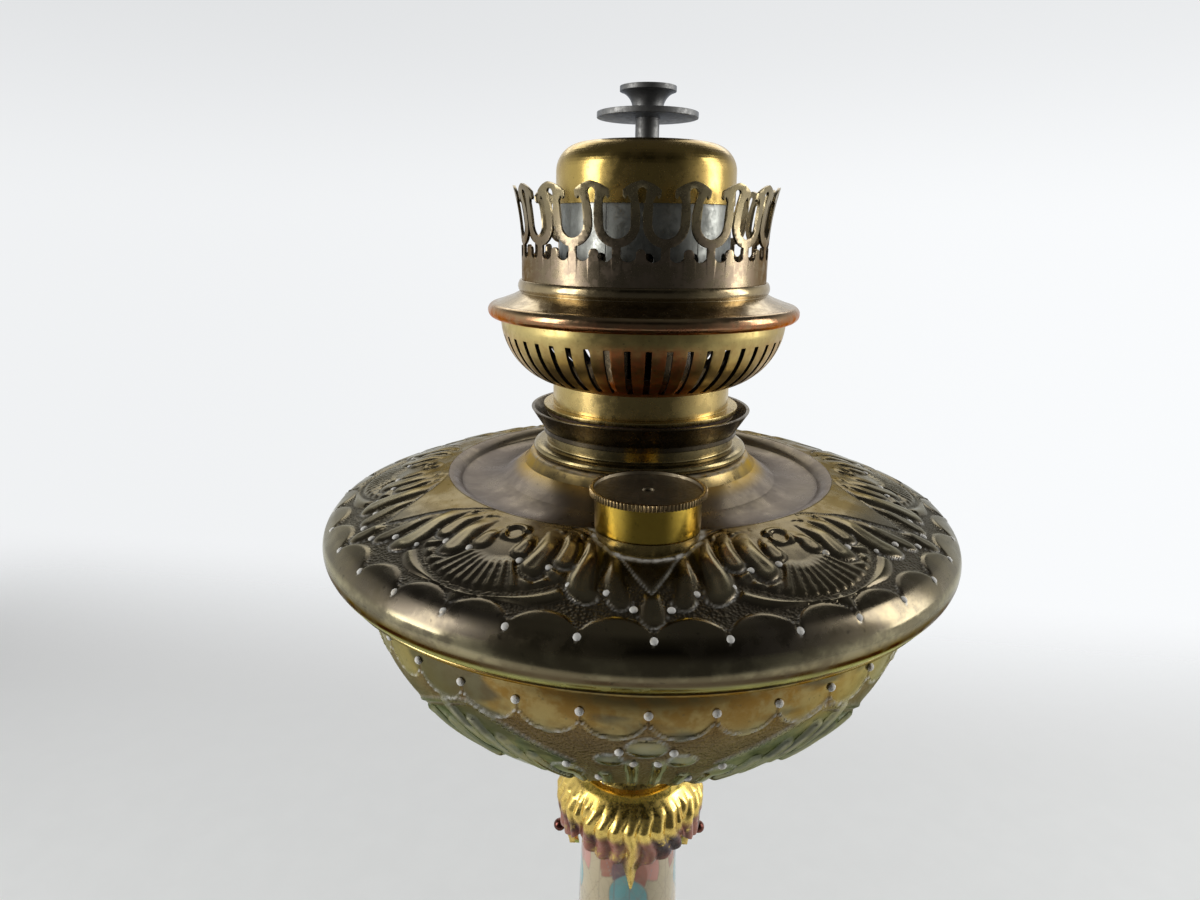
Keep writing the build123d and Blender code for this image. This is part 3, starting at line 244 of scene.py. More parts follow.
def metal(name, clean, dull, rough, scale, bands=(), bump=0.05, relief=False, chalk=None,
          edge=(1.0, 0.96, 0.9), stipple=0.0, streaks=None, rub=None, hollow=None):
    """Aged metal: clean and dulled colour in blotches, turning marks, colours in bands of height, dark
    streaks and, on embossed pieces, rubbed crests, stained and punched hollows and dried polish. Some bands
    are painted dark reflections, and on the font's rim the rubbed colour is also a painted highlight. A band
    is a colour, the heights where it starts and is full, and where it fades to the sides, or None for a band
    all round."""
    material, t, shader, place = new_material(name)
    stain = t.add("ShaderNodeGroup", {"Vector": place, "Scale": scale}, node_tree=tarnish_group()).outputs
    marks = t.add("ShaderNodeGroup", {"Vector": place}, node_tree=turning_group()).outputs
    haze = stain["Haze"]
    base, tint = t.mix(stain["Blotch"], rgba(clean), rgba(dull)), rgba(edge)
    x, _, z = t.parts(place)
    for shade, low, high, side in bands:
        reach = t.ramp(z, low, high)
        if side:
            reach = t.times(reach, t.ramp(t.math("ABSOLUTE", x), *side, 1.0, 0.15))
        reach = t.times(reach, t.ramp(haze, 0.0, 0.9, 0.55, 1.0))
        base = t.mix(reach, base, rgba(shade))
        tint = t.mix(reach, tint, rgba([min(1.0, BAND_EDGE * value) for value in shade]))
    if streaks:
        sockets = {"Vector": place, "Scale": (1.0, 1.0, STREAK_SQUEEZE)}
        squeezed = t.add("ShaderNodeMapping", sockets).outputs[0]
        patch = t.ramp(t.noise(squeezed, 1.1 * scale, 3.0, 0.5), 0.53, 0.60)
        base = t.mix(t.times(patch, 0.75), base, rgba(streaks))
    base = t.mix(t.times(stain["Specks"], 0.55), base, rgba(dull, 0.35))
    roughness = t.ramp(haze, 0.0, 1.0, *rough)
    height = t.times(marks["Grain"], 0.25 * bump)
    if relief:
        crest, ground = t.mark("crest"), t.mark("ground")
        rubbed = t.times(t.ramp(crest, 0.35, 1.0), t.ramp(haze, 0.1, 0.9, 0.3, 1.0))
        base = t.mix(t.times(rubbed, 0.6), base, rgba(rub or clean))
        base = t.mix(t.times(ground, 0.75), base, rgba(hollow) if hollow else rgba(dull, 0.55))
        roughness = t.times(roughness, t.ramp(crest, 0.3, 1.0, 1.0, 0.65))
        roughness = t.math("ADD", roughness, t.times(ground, 0.18))
        punched = t.times(t.times(t.cells(place, PUNCH_SCALE), ground), stipple)
        height = t.math("ADD", height, punched)
    metallic = 1.0
    if chalk:
        broken = t.ramp(t.noise(place, 700.0, 3.0, 0.7), 0.25, 0.6)
        white = t.times(t.mark("residue"), broken, clamp=True)
        base = t.mix(white, base, rgba(chalk))
        roughness = t.add("ShaderNodeMix", {0: white, 2: roughness, 3: 0.9}).outputs[0]
        metallic = t.math("SUBTRACT", 1.0, white, clamp=True)
    t.give(shader, {
        "Base Color": base, "Roughness": roughness, "Metallic": metallic, "Specular Tint": tint,
        "Normal": t.bump(0.35, 0.0004, height),
    })
    return material


def mesh_from(name, points, quads):
    """A smooth quad mesh from points in millimetres, turned the right way out."""
    corner = points[quads]
    volume = 0.0
    for a, b, c in ((0, 1, 2), (0, 2, 3)):
        volume += np.einsum("ij,ij->i", corner[:, a], np.cross(corner[:, b], corner[:, c])).sum()
    if volume < 0:
        quads = quads[:, ::-1]
    mesh = bpy.data.meshes.new(name)
    mesh.vertices.add(len(points))
    mesh.vertices.foreach_set("co", (points * MM).astype(np.float32).ravel())
    mesh.loops.add(quads.size)
    mesh.loops.foreach_set("vertex_index", np.ascontiguousarray(quads, np.int32).ravel())
    mesh.polygons.add(len(quads))
    mesh.polygons.foreach_set("loop_start", np.arange(0, quads.size, 4, dtype=np.int32))
    mesh.polygons.foreach_set("use_smooth", np.ones(len(quads), bool))
    mesh.update(calc_edges=True)
    mesh.validate()
    return mesh


def loop_quads(rings, steps):
    """Quads of a grid that closes both round the axis and round its profile."""
    index = np.arange(rings * steps).reshape(rings, steps)
    below = np.roll(index, -1, axis=0)
    return np.stack([index, np.roll(index, -1, 1), np.roll(below, -1, 1), below], axis=-1).reshape(-1, 4)


def turn(radius, height, angle):
    """Points round the axis: angle 0 is the front, positive towards the right."""
    radius, height, angle = np.broadcast_arrays(radius, height, angle)
    return np.stack([radius * np.sin(angle), -radius * np.cos(angle), height], axis=-1)


def around(steps):
    """Angles of even steps round the axis, as one row."""
    return (np.arange(steps) * 2 * pi / steps)[None, :]


def profile_normals(profile, side):
    """Unit normals of a profile of (radius, height) points. Side 1 or -1 picks the way that they point."""
    tangent = np.gradient(profile, axis=0)
    tangent /= np.linalg.norm(tangent, axis=1)[:, None]
    return side * np.stack([-tangent[:, 1], tangent[:, 0]], axis=-1)


def swept(name, profile, angle, normal=None, lift=0.0):
    """A closed mesh of a profile turned round the axis and lifted along its normals."""
    if normal is None:
        normal = np.zeros_like(profile)
    radius = profile[:, :1] + normal[:, :1] * lift
    height = profile[:, 1:] + normal[:, 1:] * lift
    return mesh_from(name, turn(radius, height, angle).reshape(-1, 3), loop_quads(len(profile), angle.size))


def blank_marks(lift):
    """Empty marks of a mesh's points: dried polish, punched ground and rubbed crests."""
    return {name: np.zeros_like(lift) for name in ("residue", "ground", "crest")}


def soft_corners(points, size, steps=3):
    """A closed outline with each corner rounded, and a support point on either side of it."""
    points = np.array(points, float)
    out = []
    for i, corner in enumerate(points):
        before, after = points[i - 1] - corner, points[(i + 1) % len(points)] - corner
        near = min(size, 0.42 * np.linalg.norm(before), 0.42 * np.linalg.norm(after))
        start = corner + before / np.linalg.norm(before) * near
        end = corner + after / np.linalg.norm(after) * near
        out.append(corner + (start - corner) * 1.18)
        for share in np.linspace(0, 1, steps + 1):
            out.append((1 - share) ** 2 * start + 2 * share * (1 - share) * corner + share**2 * end)
        out.append(corner + (end - corner) * 1.18)
    return np.array(out)


def arc(first, middle, last, steps):
    """Points on the circle arc through three points, both ends included."""
    (ax, ay), (bx, by), (cx, cy) = first, middle, last
    d = 2 * (ax * (by - cy) + bx * (cy - ay) + cx * (ay - by))
    ux = ((ax**2 + ay**2) * (by - cy) + (bx**2 + by**2) * (cy - ay) + (cx**2 + cy**2) * (ay - by)) / d
    uy = ((ax**2 + ay**2) * (cx - bx) + (bx**2 + by**2) * (ax - cx) + (cx**2 + cy**2) * (bx - ax)) / d
    angles = np.unwrap([np.arctan2(y - uy, x - ux) for x, y in (first, middle, last)])
    sweep = np.linspace(angles[0], angles[2], steps)
    radius = np.hypot(ax - ux, ay - uy)
    return np.stack([ux + radius * np.cos(sweep), uy + radius * np.sin(sweep)], axis=-1)


def placed(name, data):
    """A new object in the scene."""
    made = bpy.data.objects.new(name, data)
    bpy.context.scene.collection.objects.link(made)
    return made


def baked(maker, name):
    """The final mesh of an object with modifiers, which is removed."""
    graph = bpy.context.evaluated_depsgraph_get()
    mesh = bpy.data.meshes.new_from_object(maker.evaluated_get(graph))
    bpy.data.objects.remove(maker)
    mesh.name = name
    return mesh


def finish_piece(mesh, body, finish, nodes=(), marks=None):
    """Links a mesh as a piece of the lamp that rides on a body and stands for CAD nodes."""
    for name, values in (marks or {}).items():
        layer = mesh.attributes.new(name, "FLOAT", "POINT")
        layer.data.foreach_set("value", np.ascontiguousarray(values, np.float32).ravel())
    if finish:
        mesh.materials.clear()
        mesh.materials.append(bpy.data.materials[finish])
    piece = placed(mesh.name, mesh)
    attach(piece, body)
    if nodes:
        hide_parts(*nodes)


def body_of(node):
    return next(body for body, nodes in frame["record"]["behaviour"]["bodies"].items() if node in nodes)


def lathe(node, profile, finish):
    """A turned piece from a closed outline of (radius, height) points, standing for a node."""
    mesh = swept(node + "_turned", profile, around(LATHE_STEPS))
    finish_piece(mesh, body_of(node), finish, [node])


def dressed(node, finish, bevel=0.00012, inlays=()):
    """A merged copy of a CAD node with broken edges and even shading, standing for the node. An inlay is
    another finish and a test of the faces that get it."""
    mesh = frame["nodes"][node].data.copy()
    work = bmesh.new()
    work.from_mesh(mesh)
    bmesh.ops.remove_doubles(work, verts=work.verts, dist=MERGE_DISTANCE)
    for face in work.faces:
        face.smooth = True
    work.to_mesh(mesh)
    work.free()
    maker = placed(node + "_maker", mesh)
    edges = maker.modifiers.new("Edges", "BEVEL")
    edges.width, edges.segments, edges.limit_method, edges.angle_limit = bevel, 2, "ANGLE", radians(32)
    shading = maker.modifiers.new("Shading", "WEIGHTED_NORMAL")
    shading.keep_sharp = False
    mesh = baked(maker, node + "_dressed")
    finish_piece(mesh, body_of(node), finish, [node])
    for number, (extra, chosen) in enumerate(inlays, 1):
        mesh.materials.append(bpy.data.materials[extra])
        for face in mesh.polygons:
            if chosen(face):
                face.material_index = number


def spread(value, low, high):
    """A smooth step from 0 at low to 1 at high."""
    share = np.clip((value - low) / (high - low), 0, 1)
    return share * share * (3 - 2 * share)


def folded(angle, period):
    """Angle in degrees from the nearest mirror axis of a repeating unit."""
    return np.abs((np.degrees(angle) + period / 2) % period - period / 2)


def bell(share):
    """A smooth bump that is 1 at zero."""
    return np.exp(-(share**2))


def dome(share):
    """Height of a half-round ridge at a share of its half width."""
    return np.sqrt(np.clip(1 - share**2, 0, 1))


def finger(x, y, base, tip, widths):
    """Distance from a tapering finger's middle line in half widths, and the share along it."""
    (x0, y0), (x1, y1) = base, tip
    along = np.clip(((x - x0) * (x1 - x0) + (y - y0) * (y1 - y0)) / ((x1 - x0) ** 2 + (y1 - y0) ** 2), 0, 1)
    away = np.hypot(x - x0 - along * (x1 - x0), y - y0 - along * (y1 - y0))
    width = widths[0] + (widths[1] - widths[0]) * along
    return away / width, along, away - width


def on_font(angle, radius):
    """Flat coordinates on the font's shoulder: along its girth and outward, in millimetres."""
    return radians(angle) * radius, radius


# Leaf fingers of one sixth of the font's top, from the leaf tip's axis to the fan's axis:
# foot and tip as (degrees, radius), half widths at foot and tip, height
FONT_FINGERS = [
    ((0.0, 61.5), (0.0, 66.8), (1.4, 2.3), 0.75),
    ((6.4, 53.5), (4.7, 63.9), (1.3, 1.9), 0.70),
    ((11.8, 48.6), (10.2, 62.0), (1.9, 3.0), 0.95),
    ((17.4, 48.0), (15.8, 55.6), (1.4, 2.2), 0.75),
    ((21.6, 49.0), (20.4, 58.2), (1.7, 2.7), 0.85),
    ((26.6, 50.6), (25.6, 55.0), (1.2, 1.9), 0.65),
]
FONT_BEADS = [(2.75, 65.5), (7.0, 62.2), (13.3, 61.2), (6.0, 56.6), (16.0, 51.8), (18.2, 57.7), (24.2, 57.2)]
LEAF_EDGE = ([0, 2.6, 4.8, 8.4, 12.6, 17.0], [62.0, 58.0, 54.4, 50.2, 47.4, 45.5])


def font_relief(angle, radius):
    """Height, residue and ground of the embossing on the font's shoulder."""
    a = folded(angle, FONT_UNIT)
    x, y = np.radians(a) * radius, radius
    sway = x + 0.9 * np.sin((y - 46.0) / 3.2) * spread(a, 3.0, 9.0)
    leaves, cover, residue = np.zeros_like(x), np.zeros_like(x), np.zeros_like(x)
    for foot, tip, widths, top in FONT_FINGERS:
        share, along, away = finger(sway, y, on_font(*foot), on_font(*tip), widths)
        dent = 0.16 * bell(share / 0.3) * spread(along, 0.2, 0.8)
        leaves = np.maximum(leaves, top * (dome(share) - dent) * spread(along, -0.2, 0.45))
        cover = np.maximum(cover, spread(1.4 - share, 0, 0.3))
        tip_line = bell(away / 0.15) * spread(along, 0.9, 1.0)
        residue = np.maximum(residue, 0.55 * tip_line * spread(24 - a, 0, 14))
    middle = radius * np.radians(FONT_UNIT / 2) - x
    ring = np.hypot(middle, y - 50.2) - 2.3
    scroll = 0.6 * dome(ring / 0.8) * spread(53.0 - y, 0.0, 2.0)
    fan_edge = 67.0 - 0.0225 * (30 - a) ** 2
    lean = np.degrees(np.arctan2(middle, y - FAN_ROOT))
    reach = np.hypot(middle, y - FAN_ROOT)
    fan = spread(fan_edge - y, 0.5, 2.2) * spread(reach, 6.0, 8.5) * spread(a, 13.0, 15.0)
    ribs = 0.22 + 0.42 * np.abs(np.cos(np.radians(lean) * 180 / FAN_RIB_ANGLE))
    horn = 0.35 + 1.5 * spread(25 - a, 0, 10)
    strap = np.clip(1 - ((y - fan_edge - horn) / horn) ** 2, 0, 1) * spread(a, 12.6, 14.0)
    spur, _, _ = finger(x, y, on_font(30, 67.6), on_font(30, 70.6), (1.5, 0.35))
    behind = np.maximum.reduce([scroll, fan * ribs, 0.7 * strap, 0.6 * dome(spur)])
    height = np.maximum(leaves, behind * (1 - cover)) * spread(y, 45.6, 48.6)
    inside = np.interp(a, *LEAF_EDGE) - y
    height = np.where(inside > 0, 0.28 * spread(inside, 0.0, 0.5) * spread(y, 47.2, 51.0), height)
    groove = bell(inside / 0.32) * (a < 18)
    height = height - 0.25 * groove
    residue = np.maximum(residue, 0.6 * groove * spread(14 - a, 0, 8))
    step = np.abs((a % RIM_LOBE) - RIM_LOBE / 2) / (RIM_LOBE / 2)
    depth = y - (71.6 - 4.7 * dome(step))
    lobe = dome(1 - np.clip(depth / 1.3, 0, 1)) * spread(72.4 - y, 0, 3.4)
    height = np.where(depth > 0, 0.55 * lobe, height)
    residue = np.maximum(residue, 0.35 * bell(depth / 0.18) * spread(step, 0.55, 0.95))
    ground = spread(0.12 - height, 0.0, 0.1) * (inside < 0) * (depth < 0) * spread(y, 58, 61)
    return height, residue, ground


def filler_residue(angle, radius):
    """Dried polish round the filler's foot."""
    away = np.hypot(radius * np.sin(angle), FILLER_REACH - radius * np.cos(angle))
    return 0.8 * bell((away - 10.4) / 0.55)


def shoulder_height(radius):
    """Height of the font's shoulder at a radius, through its three fixed points."""
    fit = np.polyfit([47.2, 58.85, SHOULDER_EDGE[0]], [333.7, 330.4, SHOULDER_EDGE[1]], 2)
    return np.polyval(fit, radius)


# Scallops, leaves and flutes of one third of the bowl: degrees from the palmette and down the bowl's curve
BOWL_FLUTES = [
    ((38.0, 12.0), (35.5, 18.0), (31.0, 24.0)),
    ((32.5, 15.5), (30.0, 21.5), (26.0, 27.5)),
    ((27.0, 19.5), (24.5, 25.5), (20.5, 31.0)),
    ((21.5, 24.0), (19.5, 29.5), (16.0, 34.5)),
    ((39.5, 21.0), (37.0, 27.5), (33.0, 33.5)),
    ((46.0, 22.5), (44.0, 30.0), (40.0, 37.0)),
    ((52.0, 28.0), (50.0, 35.0), (46.0, 41.0)),
]
BOWL_LINES = [
    ((31.5, 9.0), (22.0, 15.5), (13.5, 22.0)),
    ((31.5, 9.0), (44.0, 17.0), (60.0, 31.0)),
    ((26.0, 59.0), (45.0, 58.0), (60.0, 51.0)),
]
BOWL_STRANDS = [
    ((2.6, 20.0), (2.2, 36.0), (2.8, 58.0)),
    ((7.5, 27.0), (7.8, 42.0), (9.5, 58.0)),
    ((13.0, 28.0), (13.5, 42.0), (16.0, 56.0)),
]
BOWL_LOBES = [((0.0, 14.2), 3.4), ((6.4, 19.5), 2.5), ((14.8, 28.0), 3.2)]
BOWL_EYES = [(4.6, 15.6), (8.8, 30.0), (9.6, 48.0), (2.2, 20.0), (14.5, 24.0)]


def on_bowl(angle, turn_down):
    """Flat coordinates on the bowl: along its girth and down its curve, in millimetres."""
    return np.radians(angle) * BOWL_GIRTH, np.radians(turn_down) * BOWL_CURVE


def near_curve(x, y, points, width):
    """Share of the half width away from a curve through three bowl points."""
    knots = np.array([on_bowl(*point) for point in points])
    share = np.linspace(0, 1, 9)[:, None]
    control = 2 * knots[1] - (knots[0] + knots[2]) / 2
    line = (1 - share) ** 2 * knots[0] + 2 * share * (1 - share) * control + share**2 * knots[2]
    best = np.full_like(x, 1e9)
    for start, end in zip(line[:-1], line[1:]):
        best = np.minimum(best, finger(x, y, start, end, (1.0, 1.0))[0])
    return best / width


def bowl_relief(angle, turn_down):
    """Height, residue and ground of the embossing on the bowl."""
    a = folded(angle, BOWL_UNIT)
    x, y = on_bowl(a, turn_down)
    pitch = 360 / BOWL_SCALLOPS
    step = np.abs((np.degrees(angle) % pitch) - pitch / 2) / (pitch / 2)
    drop = y - np.radians(4.4 + 6.6 * dome(step)) * BOWL_CURVE
    height = 0.45 * bell(drop / 0.5)
    residue = 0.85 * bell(drop / 0.22)
    panel = spread(y - np.interp(a, [13, 31.5, 60], [20.7, 8.5, 29.2]), 0.0, 1.0) * spread(a, 12, 14)
    stipple = (drop > 0.4) * (1 - panel)
    for points in BOWL_FLUTES:
        height = np.maximum(height, 0.85 * dome(near_curve(x, y, points, 1.3)))
    for points in BOWL_LINES:
        share = near_curve(x, y, points, 0.55)
        height = np.maximum(height, 0.5 * bell(share))
        residue = np.maximum(residue, 0.3 * bell((share - 1.4) / 0.4))
    for points in BOWL_STRANDS:
        share = near_curve(x, y, points, 1.25)
        height = np.maximum(height, 0.65 * dome(share))
        stipple = stipple * (share > 1.0)
    for centre, size in BOWL_LOBES:
        cx, cy = on_bowl(*centre)
        away = np.hypot(x - cx, y - cy)
        height = np.maximum(height, 0.6 * dome(away / size))
        residue = np.maximum(residue, 0.55 * bell((away - size) / 0.2))
        stipple = stipple * (away > size)
    fade = spread(66 - np.degrees(y / BOWL_CURVE), 0, 6)
    return height * fade, residue * fade, stipple * fade * spread(0.25 - height, 0, 0.1)


def bowl_point(turn_down):
    """Radius and height of the bowl's outside at an angle down its curve."""
    turned = np.radians(turn_down)
    return BOWL_RADIUS * np.cos(turned), BOWL_TOP - BOWL_DEPTH * np.sin(turned)


def bowl_normal(turn_down):
    """Outward way of the bowl's outside, as radius and height, not of unit length."""
    turned = np.radians(turn_down)
    return BOWL_DEPTH * np.cos(turned), -BOWL_RADIUS * np.sin(turned)


def bead_group():
    """Geometry nodes that set a bead on each point of a mesh, flattened along the stored direction."""

    def fill(t, given):
        sockets = {"Radius": given["Bead Radius"], "Subdivisions": 2}
        ball = t.add("GeometryNodeMeshIcoSphere", sockets).outputs["Mesh"]
        way = t.add("GeometryNodeInputNamedAttribute", {"Name": "outward"}, data_type="FLOAT_VECTOR")
        sockets = {"Vector": way.outputs["Attribute"]}
        aim = t.add("FunctionNodeAlignRotationToVector", sockets, axis="Z").outputs[0]
        size = t.join(1.0, 1.0, given["Flatness"])
        sockets = {"Points": given["Geometry"], "Instance": ball, "Rotation": aim, "Scale": size}
        put = t.add("GeometryNodeInstanceOnPoints", sockets).outputs[0]
        real = t.add("GeometryNodeRealizeInstances", {"Geometry": put}).outputs[0]
        smooth = t.add("GeometryNodeSetShadeSmooth", {"Geometry": real}).outputs[0]
        sockets = {"Geometry": smooth, "Material": given["Material"]}
        return {"Geometry": t.add("GeometryNodeSetMaterial", sockets).outputs[0]}

    inputs = {"Geometry": "Geometry", "Bead Radius": "Float", "Flatness": "Float", "Material": "Material"}
    return node_group("Bead setter", "GeometryNodeTree", inputs, {"Geometry": "Geometry"}, fill)


def set_beads(name, points, outward, radius, flatness):
    """Beads of the stand at points in millimetres, made by the bead setter and turned into a plain mesh."""
    seed = bpy.data.meshes.new(name + "_points")
    seed.from_pydata([tuple(point * MM) for point in points], [], [])
    layer = seed.attributes.new("outward", "FLOAT_VECTOR", "POINT")
    layer.data.foreach_set("vector", np.ascontiguousarray(outward, np.float32).ravel())
    maker = placed(name + "_maker", seed)
    tree = bead_group()
    modifier = maker.modifiers.new("Beads", "NODES")
    modifier.node_group = tree
    values = {"Bead Radius": radius, "Flatness": flatness, "Material": bpy.data.materials["Bead"]}
    for item in tree.interface.items_tree:
        if item.in_out == "INPUT" and item.name in values:
            modifier[item.identifier] = values[item.name]
    mesh = baked(maker, name)
    if not len(mesh.polygons):
        raise RuntimeError(f"{name}: the bead setter made nothing")
    finish_piece(mesh, "stand", None)


class LAMP_OT_finishes(bpy.types.Operator):
    """Makes the metal, glaze, cotton and leather finishes"""

    bl_idname = "lamp.finishes"
    bl_label = "Finishes"

    GILT_EDGE = (1.0, 0.95, 0.8)

    def execute(self, context):
        colours = context.scene.lamp_colours
        c = {key: tuple(getattr(colours, key)) for key in LampColours.__annotations__}
        self.embossed(c)
        self.heated(c)
        for name, clean, dull, rough, scale, more in (
            ("Burner brass", c["brass"], (0.40, 0.29, 0.11), (0.18, 0.32), 40.0, {}),
            ("Collar brass", (0.29, 0.23, 0.105), (0.17, 0.135, 0.065), (0.18, 0.32), 40.0, {}),
            ("Cap brass", (0.74, 0.52, 0.085), (0.58, 0.39, 0.06), (0.14, 0.26), 50.0, {}),
            ("Cap top", (0.27, 0.225, 0.15), (0.15, 0.125, 0.085), (0.38, 0.55), 130.0, {"bump": 0.5}),
            ("Cap rim", (0.36, 0.26, 0.12), (0.20, 0.14, 0.07), (0.24, 0.40), 130.0, {}),
            ("Dome brass", (0.46, 0.335, 0.095), (0.32, 0.22, 0.07), (0.20, 0.32), 30.0, {}),
            ("Drip brass", (0.10, 0.08, 0.05), (0.05, 0.04, 0.028), (0.20, 0.36), 60.0, {}),
            # Near-black brass: painted shade for the inside of the basket.
            ("Shaded inner brass", (0.05, 0.036, 0.022), (0.02, 0.016, 0.012), (0.45, 0.65), 60.0, {}),
            ("Dark brass", (0.26, 0.20, 0.12), (0.13, 0.10, 0.065), (0.20, 0.36), 60.0, {}),
            ("Steel", (0.40, 0.39, 0.37), (0.20, 0.19, 0.18), (0.28, 0.48), 70.0, {}),
            ("Copper screw", (0.20, 0.07, 0.05), (0.09, 0.035, 0.03), (0.22, 0.40), 150.0, {}),
            ("Zinc", c["zinc"], (0.21, 0.213, 0.195), (0.30, 0.48), 80.0,
             {"edge": (0.9, 0.95, 1.0), "bump": 0.2}),
            ("Iron", c["iron"], (0.15, 0.148, 0.142), (0.46, 0.62), 120.0,
             {"edge": (0.85, 0.9, 1.0), "bump": 0.5}),
            ("Gilt", c["gilt"], (0.60, 0.43, 0.13), (0.20, 0.38), 110.0,
             {"edge": self.GILT_EDGE, "bump": 0.12}),
        ):
            metal(name, clean, dull, rough, scale, **more)
        self.painted_gilt(c["gilt"])
        self.bead_metal(c["chalk"])
        self.cotton()
        self.leather()
        self.cast_iron()
        self.glaze(c["glaze"])
        return {"FINISHED"}

    def embossed(self, c):
        """Bronze of the font and bowl, and brass of the foot, with dried polish."""
        chalk = c["chalk"]
        metal(
            "Font bronze", (0.19, 0.155, 0.09), c["bronze"], (0.18, 0.32), 16.0, relief=True, chalk=chalk,
            # The rub colour is rubbed brass on the crests and, on the rim's roll, also a painted highlight.
            edge=(0.84, 0.84, 0.78), stipple=1.6, bump=0.10, rub=(0.50, 0.44, 0.26),
            # The first band, dark all round the rim's lower roll, is a painted dark reflection.
            bands=[((0.10, 0.07, 0.04), 0.3212, 0.3198, None), ((0.37, 0.365, 0.19), 0.3186, 0.3176, None),
                   ((0.185, 0.155, 0.105), 0.3305, 0.3335, None)],
        )
        metal(
            "Crest bronze", (0.14, 0.115, 0.07), (0.09, 0.074, 0.056), (0.26, 0.40), 16.0, chalk=chalk,
            edge=(0.86, 0.82, 0.82), bump=0.08, bands=[((0.36, 0.26, 0.10), 0.3338, 0.3372, None)],
        )
        metal(
            "Bowl bronze", (0.46, 0.38, 0.16), c["olive"], (0.15, 0.27), 26.0, relief=True, chalk=chalk,
            edge=(0.72, 0.72, 0.56), stipple=1.6, streaks=(0.07, 0.075, 0.06), hollow=(0.18, 0.12, 0.06),
            rub=(0.50, 0.47, 0.33),
            # The first band is a painted dark reflection: darker brown high on the bowl, full at the front
            # and fading towards the sides.
            bands=[((0.27, 0.155, 0.04), 0.292, 0.309, (0.026, 0.050)),
                   ((0.18, 0.195, 0.135), 0.3045, 0.2965, None)],
        )
        metal(
            "Foot brass", (0.46, 0.33, 0.12), (0.20, 0.15, 0.065), (0.20, 0.38), 32.0, relief=True,
            chalk=chalk, stipple=1.2,
        )

    def heated(self, c):
        """Burner metal with heat colours in bands."""
        for name, clean, dull, rough, band in (
            ("Basket brass", (0.54, 0.43, 0.165), (0.36, 0.27, 0.10), (0.28, 0.42),
             (c["copper"], 0.3680, 0.3655, (0.006, 0.012))),
            ("Gallery copper", (0.36, 0.28, 0.15), (0.22, 0.17, 0.10), (0.15, 0.28),
             ((0.34, 0.15, 0.075), 0.3735, 0.3705, None)),
            ("Prong brass", (0.30, 0.245, 0.135), (0.17, 0.14, 0.085), (0.24, 0.36),
             (c["heat"], 0.3945, 0.3835, None)),
        ):
            metal(name, clean, dull, rough, 50.0, bands=[band])

    def painted_gilt(self, gilt):
        """Gilding with a mottled painted hem."""
        material = metal(
            "Painted gilt", gilt, (0.66, 0.46, 0.13), (0.20, 0.38), 110.0, edge=self.GILT_EDGE, bump=0.12
        )
        t = Tree(material.node_tree)
        shader = material.node_tree.nodes["Principled BSDF"]
        place = t.add("ShaderNodeTexCoord").outputs["Object"]
        broken = t.times(t.mark("hem"), t.ramp(t.noise(place, 260.0, 4.0, 0.7), 0.28, 0.46), clamp=True)
        patch = t.ramp(t.noise(place, 130.0), 0.42, 0.58)
        red = t.mix(patch, (0.055, 0.03, 0.04, 1.0), (0.33, 0.13, 0.09, 1.0))
        gilding = shader.inputs["Base Color"].links[0].from_socket
        metallic = t.math("SUBTRACT", 1.0, broken, clamp=True)
        t.give(shader, {"Base Color": t.mix(broken, gilding, red), "Metallic": metallic})

    def bead_metal(self, chalk):
        """Beads: rubbed metal under a broken skin of dried polish."""
        _, t, shader, place = new_material("Bead")
        skin = t.ramp(t.noise(place, 420.0, 3.0, 0.7), 0.24, 0.50, 0.25, 0.95)
        t.give(shader, {
            "Base Color": t.mix(skin, (0.42, 0.32, 0.16, 1.0), rgba(chalk)),
            "Metallic": t.math("SUBTRACT", 1.0, skin),
            "Roughness": t.ramp(skin, 0.0, 1.0, 0.3, 0.85),
            "Normal": t.bump(0.3, 0.0003, t.noise(place, 1800.0)),
        })

    def cotton(self):
        """Woven cotton with a charred top."""
        _, t, shader, place = new_material("Cotton")
        sockets = {"Vector": place, "Scale": 380.0, "Distortion": 1.5}
        wave = t.add("ShaderNodeTexWave", sockets, bands_direction="Z").outputs["Fac"]
        char = t.ramp(t.parts(place)[2], 0.400, 0.4065)
        woven = t.mix(wave, (0.50, 0.44, 0.33, 1.0), (0.68, 0.62, 0.50, 1.0))
        t.give(shader, {
            "Base Color": t.mix(char, woven, (0.025, 0.022, 0.02, 1.0)),
            "Roughness": t.ramp(t.noise(place, 500.0), 0.0, 1.0, 0.8, 0.98),
            "Normal": t.bump(0.6, 0.0004, wave),
        })

    def leather(self):
        """Dark oiled leather."""
        _, t, shader, place = new_material("Leather")
        grain = t.cells(place, 1400.0)
        t.give(shader, {
            "Base Color": t.mix(t.noise(place, 220.0), (0.06, 0.035, 0.02, 1.0), (0.16, 0.09, 0.045, 1.0)),
            "Roughness": t.ramp(grain, 0.0, 1.0, 0.45, 0.7),
            "Normal": t.bump(0.4, 0.0003, grain),
        })

    def cast_iron(self):
        """Sandy cast iron with rust."""
        _, t, shader, place = new_material("Cast iron")
        sand = t.noise(place, 600.0, 6.0, 0.7)
        rust = t.ramp(t.noise(place, 70.0, 5.0, 0.6), 0.5, 0.66)
        t.give(shader, {
            "Base Color": t.mix(rust, (0.05, 0.048, 0.046, 1.0), (0.16, 0.065, 0.03, 1.0)),
            "Roughness": t.ramp(sand, 0.2, 0.8, 0.6, 0.9),
            "Metallic": t.ramp(rust, 0.0, 1.0, 0.7, 0.05),
            "Normal": t.bump(0.5, 0.0008, sand),
        })

